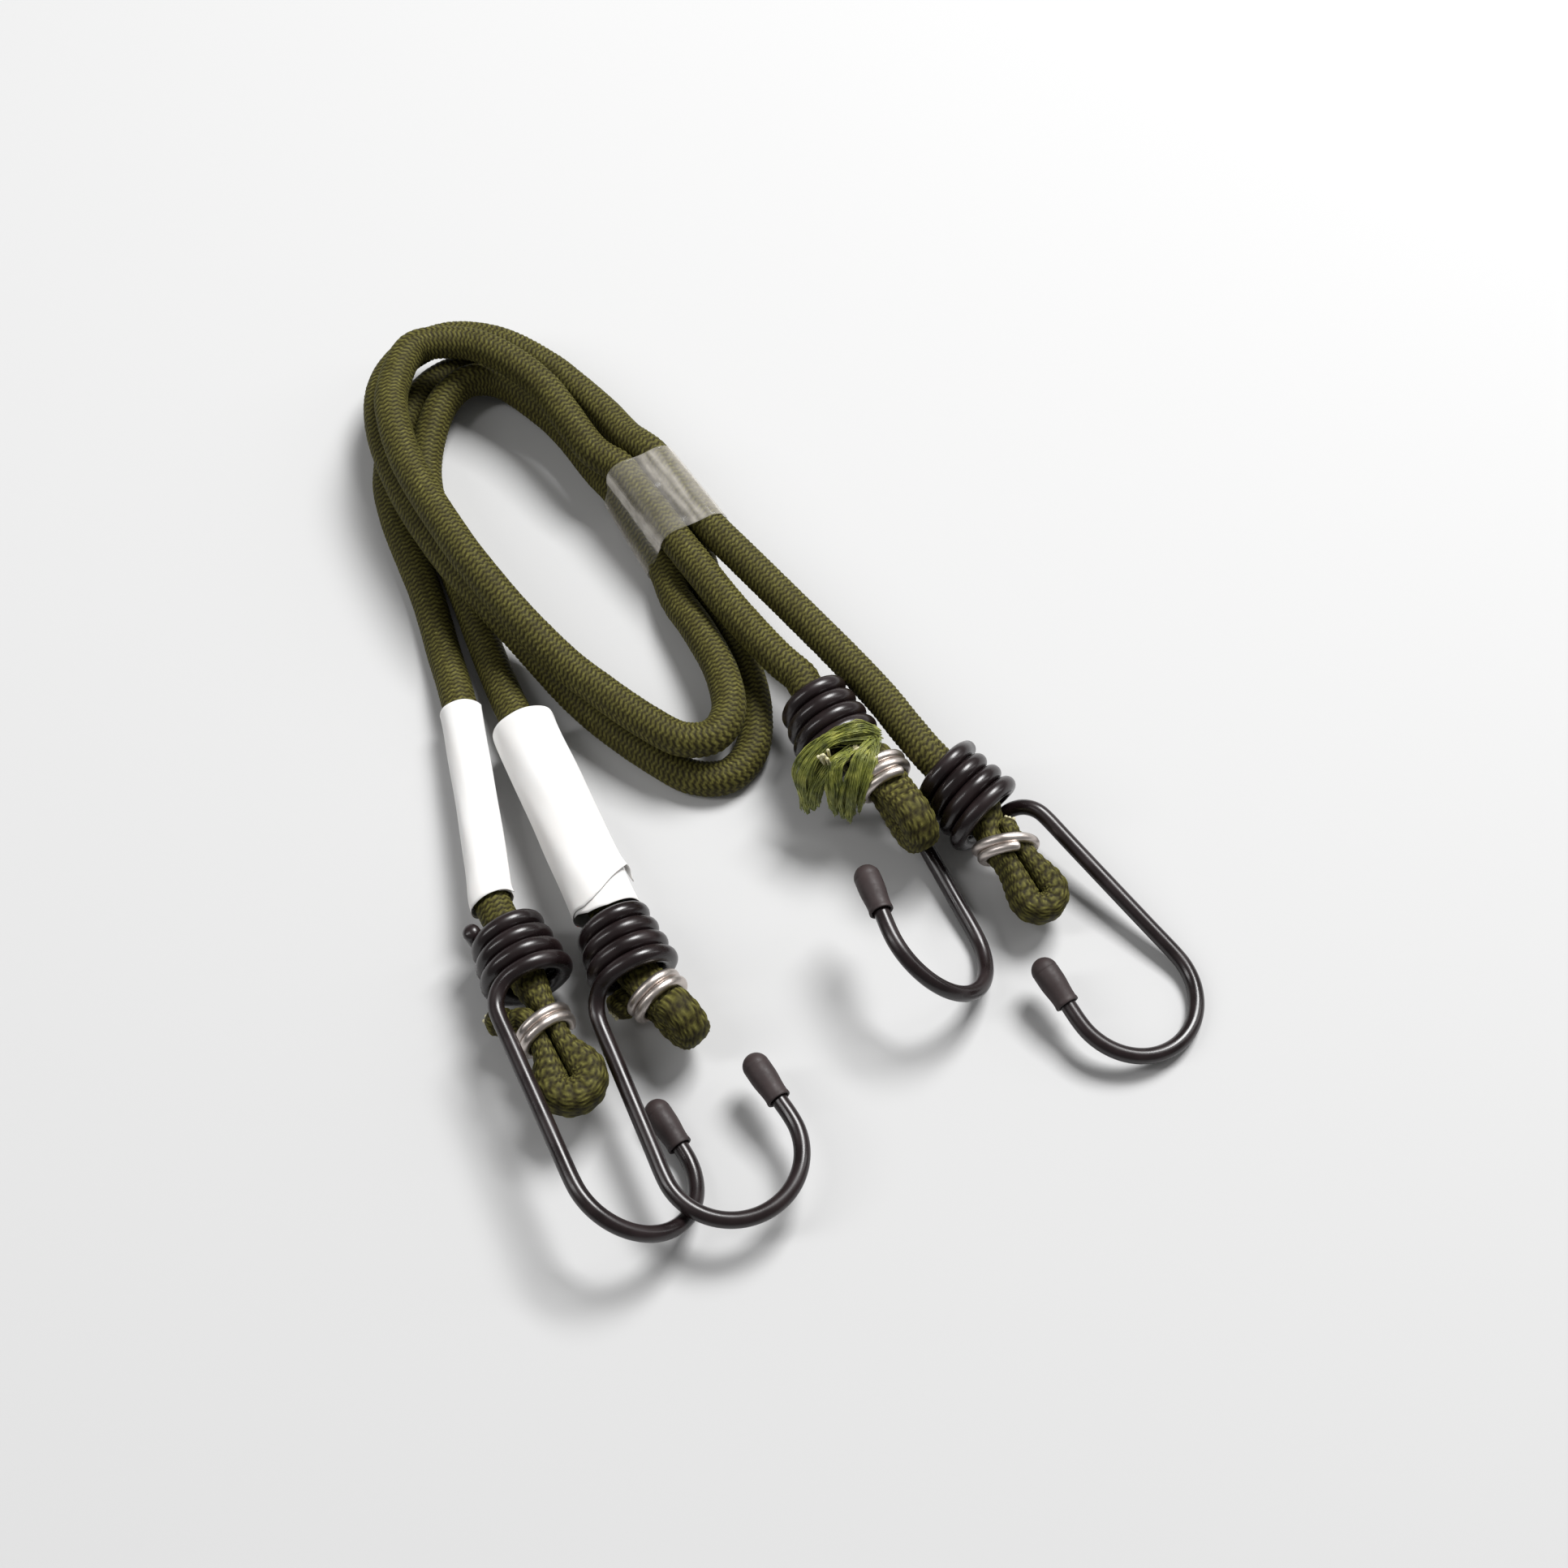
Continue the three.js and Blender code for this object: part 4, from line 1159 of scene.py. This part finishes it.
def make_tape():
    rows = []
    for share in np.linspace(0.62, -0.5, 45):
        waver = 0.30 + 0.10 * math.sin(9 * share) + 0.06 * math.sin(23 * share + 1)
        rows.append(tape_ring(share * TAPE_LENGTH, waver))
    grid = np.array(rows)
    grid = np.concatenate([grid, grid[:, :LAP_COLUMNS]], axis=1)
    lap, middle = grid[:, -LAP_COLUMNS:], grid.mean(axis=1, keepdims=True)
    lap += unit(lap - middle) * np.linspace(0.05, 0.16, LAP_COLUMNS)[:, None]
    grid[..., 2] = np.maximum(grid[..., 2], 0.08)
    piece = sheet_mesh("tape_film", grid, TAPE_THICK)
    around = piece.data.attributes.new("around", "FLOAT", "POINT")
    column = np.tile(np.arange(grid.shape[1]) / 100, len(rows))
    around.data.foreach_set("value", column.astype(np.float32))
    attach(piece, "hank")
    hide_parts("tape_band")
    print(piece.name, len(rows), "rows of", grid.shape[1])
    return piece


tape = make_tape()

# %% [markdown]
# The film is very glossy and clear, but slightly milky, with whiter streaks where the glue has
# let go. A see-through shader mixed with a glossy white one does this; the mix follows streaks
# along the cords and rises at grazing angles. The table below gives how milky the film is by the
# grid's columns, once round the band; its high values at columns 66.5 to 69.5 are a painted
# highlight, a white stripe along one shoulder of the tape.

# %% Clear film
# Columns 66.5 to 69.5 hold a painted highlight along the tape's shoulder; the rest is the film's milkiness.
TAPE_HAZE_AND_HIGHLIGHT = [
    (0, 0.30), (10, 0.20), (36, 0.20), (41, 0.30), (45, 0.22), (48, 0.12), (50, 0.40), (51.5, 0.16),
    (53, 0.36), (54.5, 0.14), (57, 0.10), (60, 0.07), (63, 0.09), (65, 0.16), (66.5, 0.80), (69.5, 0.72),
    (70.5, 0.10), (72, 0.03), (75, 0.02), (77, 0.05), (79, 0.20), (82, 0.34), (94, 0.30),
]
film, add, set_shader = new_material("clear_film")
place = add("ShaderNodeTexCoord").outputs["Object"]
turned = add("ShaderNodeMapping", {"Vector": place, "Rotation": (0, 0, -TAPE_HEADING)}).outputs["Vector"]
streaks = noise(add, stretched(add, turned, 14.0, 330.0, 330.0), 1.0, 4.0, 0.55)
blots = noise(add, place, 420.0, 4.0, 0.6)
slow = noise(add, stretched(add, turned, 70.0, 160.0, 160.0), 1.0, 2.0)
around = add("ShaderNodeAttribute", attribute_name="around").outputs["Fac"]
stray = add("ShaderNodeMapRange", {"Value": slow, "To Min": -0.015, "To Max": 0.015}).outputs["Result"]
strayed = combined(add, "ADD", around, stray)
band = ramp(add, strayed, *((column / 100, haze_and_highlight) for column, haze_and_highlight in TAPE_HAZE_AND_HIGHLIGHT))
milky = ramp(add, streaks, (0.34, 0.5), (0.5, 0.85), (0.66, 1.0))
wetted = ramp(add, blots, (0.38, 0.7), (0.60, 1.0))
# Milkiness times streaks and blots, with the painted shoulder highlight from the table.
haze_and_highlight = combined(add, "MULTIPLY", band, combined(add, "MULTIPLY", milky, wetted))
facing = add("ShaderNodeLayerWeight", {"Blend": 0.5}).outputs["Facing"]
edge = ramp(add, facing, (0.3, 0.015), (0.75, 0.06), (1.0, 0.3))
total = combined(add, "ADD", haze_and_highlight, edge, use_clamp=True)
set_shader(
    Base_Color=(0.66, 0.62, 0.56, 1), Roughness=0.12, Normal=bumped(add, streaks, 0.03, 0.0003),
    Specular_IOR_Level=0.6,
)
nodes = film.node_tree.nodes
clear, glossy = add("ShaderNodeBsdfTransparent"), nodes["Principled BSDF"]
mixed = add("ShaderNodeMixShader", {0: total, 1: clear.outputs["BSDF"], 2: glossy.outputs["BSDF"]})
film.node_tree.links.new(mixed.outputs["Shader"], nodes["Material Output"].inputs["Surface"])
coat(film, [tape])

# %% [markdown]
# ## Floor and light
#
# Product photographs are lit by large soft lamps. Area lights do that: their size makes the
# shadows soft, and in the glossy wire they show as long pale streaks. The strong lamp stands
# behind the hank and to its right, so the cords' near sides are dark.

# %% Floor, lights and world
floor_mesh = bpy.data.meshes.new("floor")
floor_mesh.from_pydata([(-3, -3, 0), (3, -3, 0), (3, 3, 0), (-3, 3, 0)], [], [(0, 1, 2, 3)])
floor = bpy.data.objects.new("floor", floor_mesh)
scene.collection.objects.link(floor)
pale, _, set_shader = new_material("pale_floor")
set_shader(Base_Color=(0.55, 0.55, 0.55, 1), Roughness=0.9, Specular_IOR_Level=0.1)
coat(pale, [floor])


def soft_lamp(name, place, target, size, power):
    data = bpy.data.lights.new(name, "AREA")
    data.shape = "RECTANGLE"
    data.size, data.size_y = size
    data.energy = power
    lamp = bpy.data.objects.new(name, data)
    lamp.location = place
    lamp.rotation_euler = (Vector(target) - Vector(place)).to_track_quat("-Z", "Y").to_euler()
    scene.collection.objects.link(lamp)


soft_lamp("upper_lamp", (0.58, 0.84, 1.42), (0, 0.02, 0), (0.8, 0.65), 46)
soft_lamp("left_lamp", (-0.7, -0.15, 0.75), (0, 0, 0), (0.16, 0.7), 2.9)
soft_lamp("right_lamp", (0.95, 0.2, 0.7), (0, 0, 0), (0.2, 0.8), 1.4)
world = bpy.data.worlds.new("studio")
scene.world = world
world.use_nodes = True
sky = world.node_tree.nodes["Background"].inputs
sky["Color"].default_value = (1, 1, 1, 1)
sky["Strength"].default_value = 0.18
scene.view_settings.view_transform = "Standard"
print("lamps:", len(bpy.data.lights))

# %% [markdown]
# ## Soft pieces
#
# A cord, a rolled sheet and a stretched film aren't rigid. Here the path of each cord piece is
# turned so that it starts at the hank's side, and its first point is taken.

# %% The paths of the cord pieces
for name, pieces in cords.items():
    for part, (tube, path, length) in pieces.items():
        route = path[::-1] if part == "right" else path
        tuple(route[0])
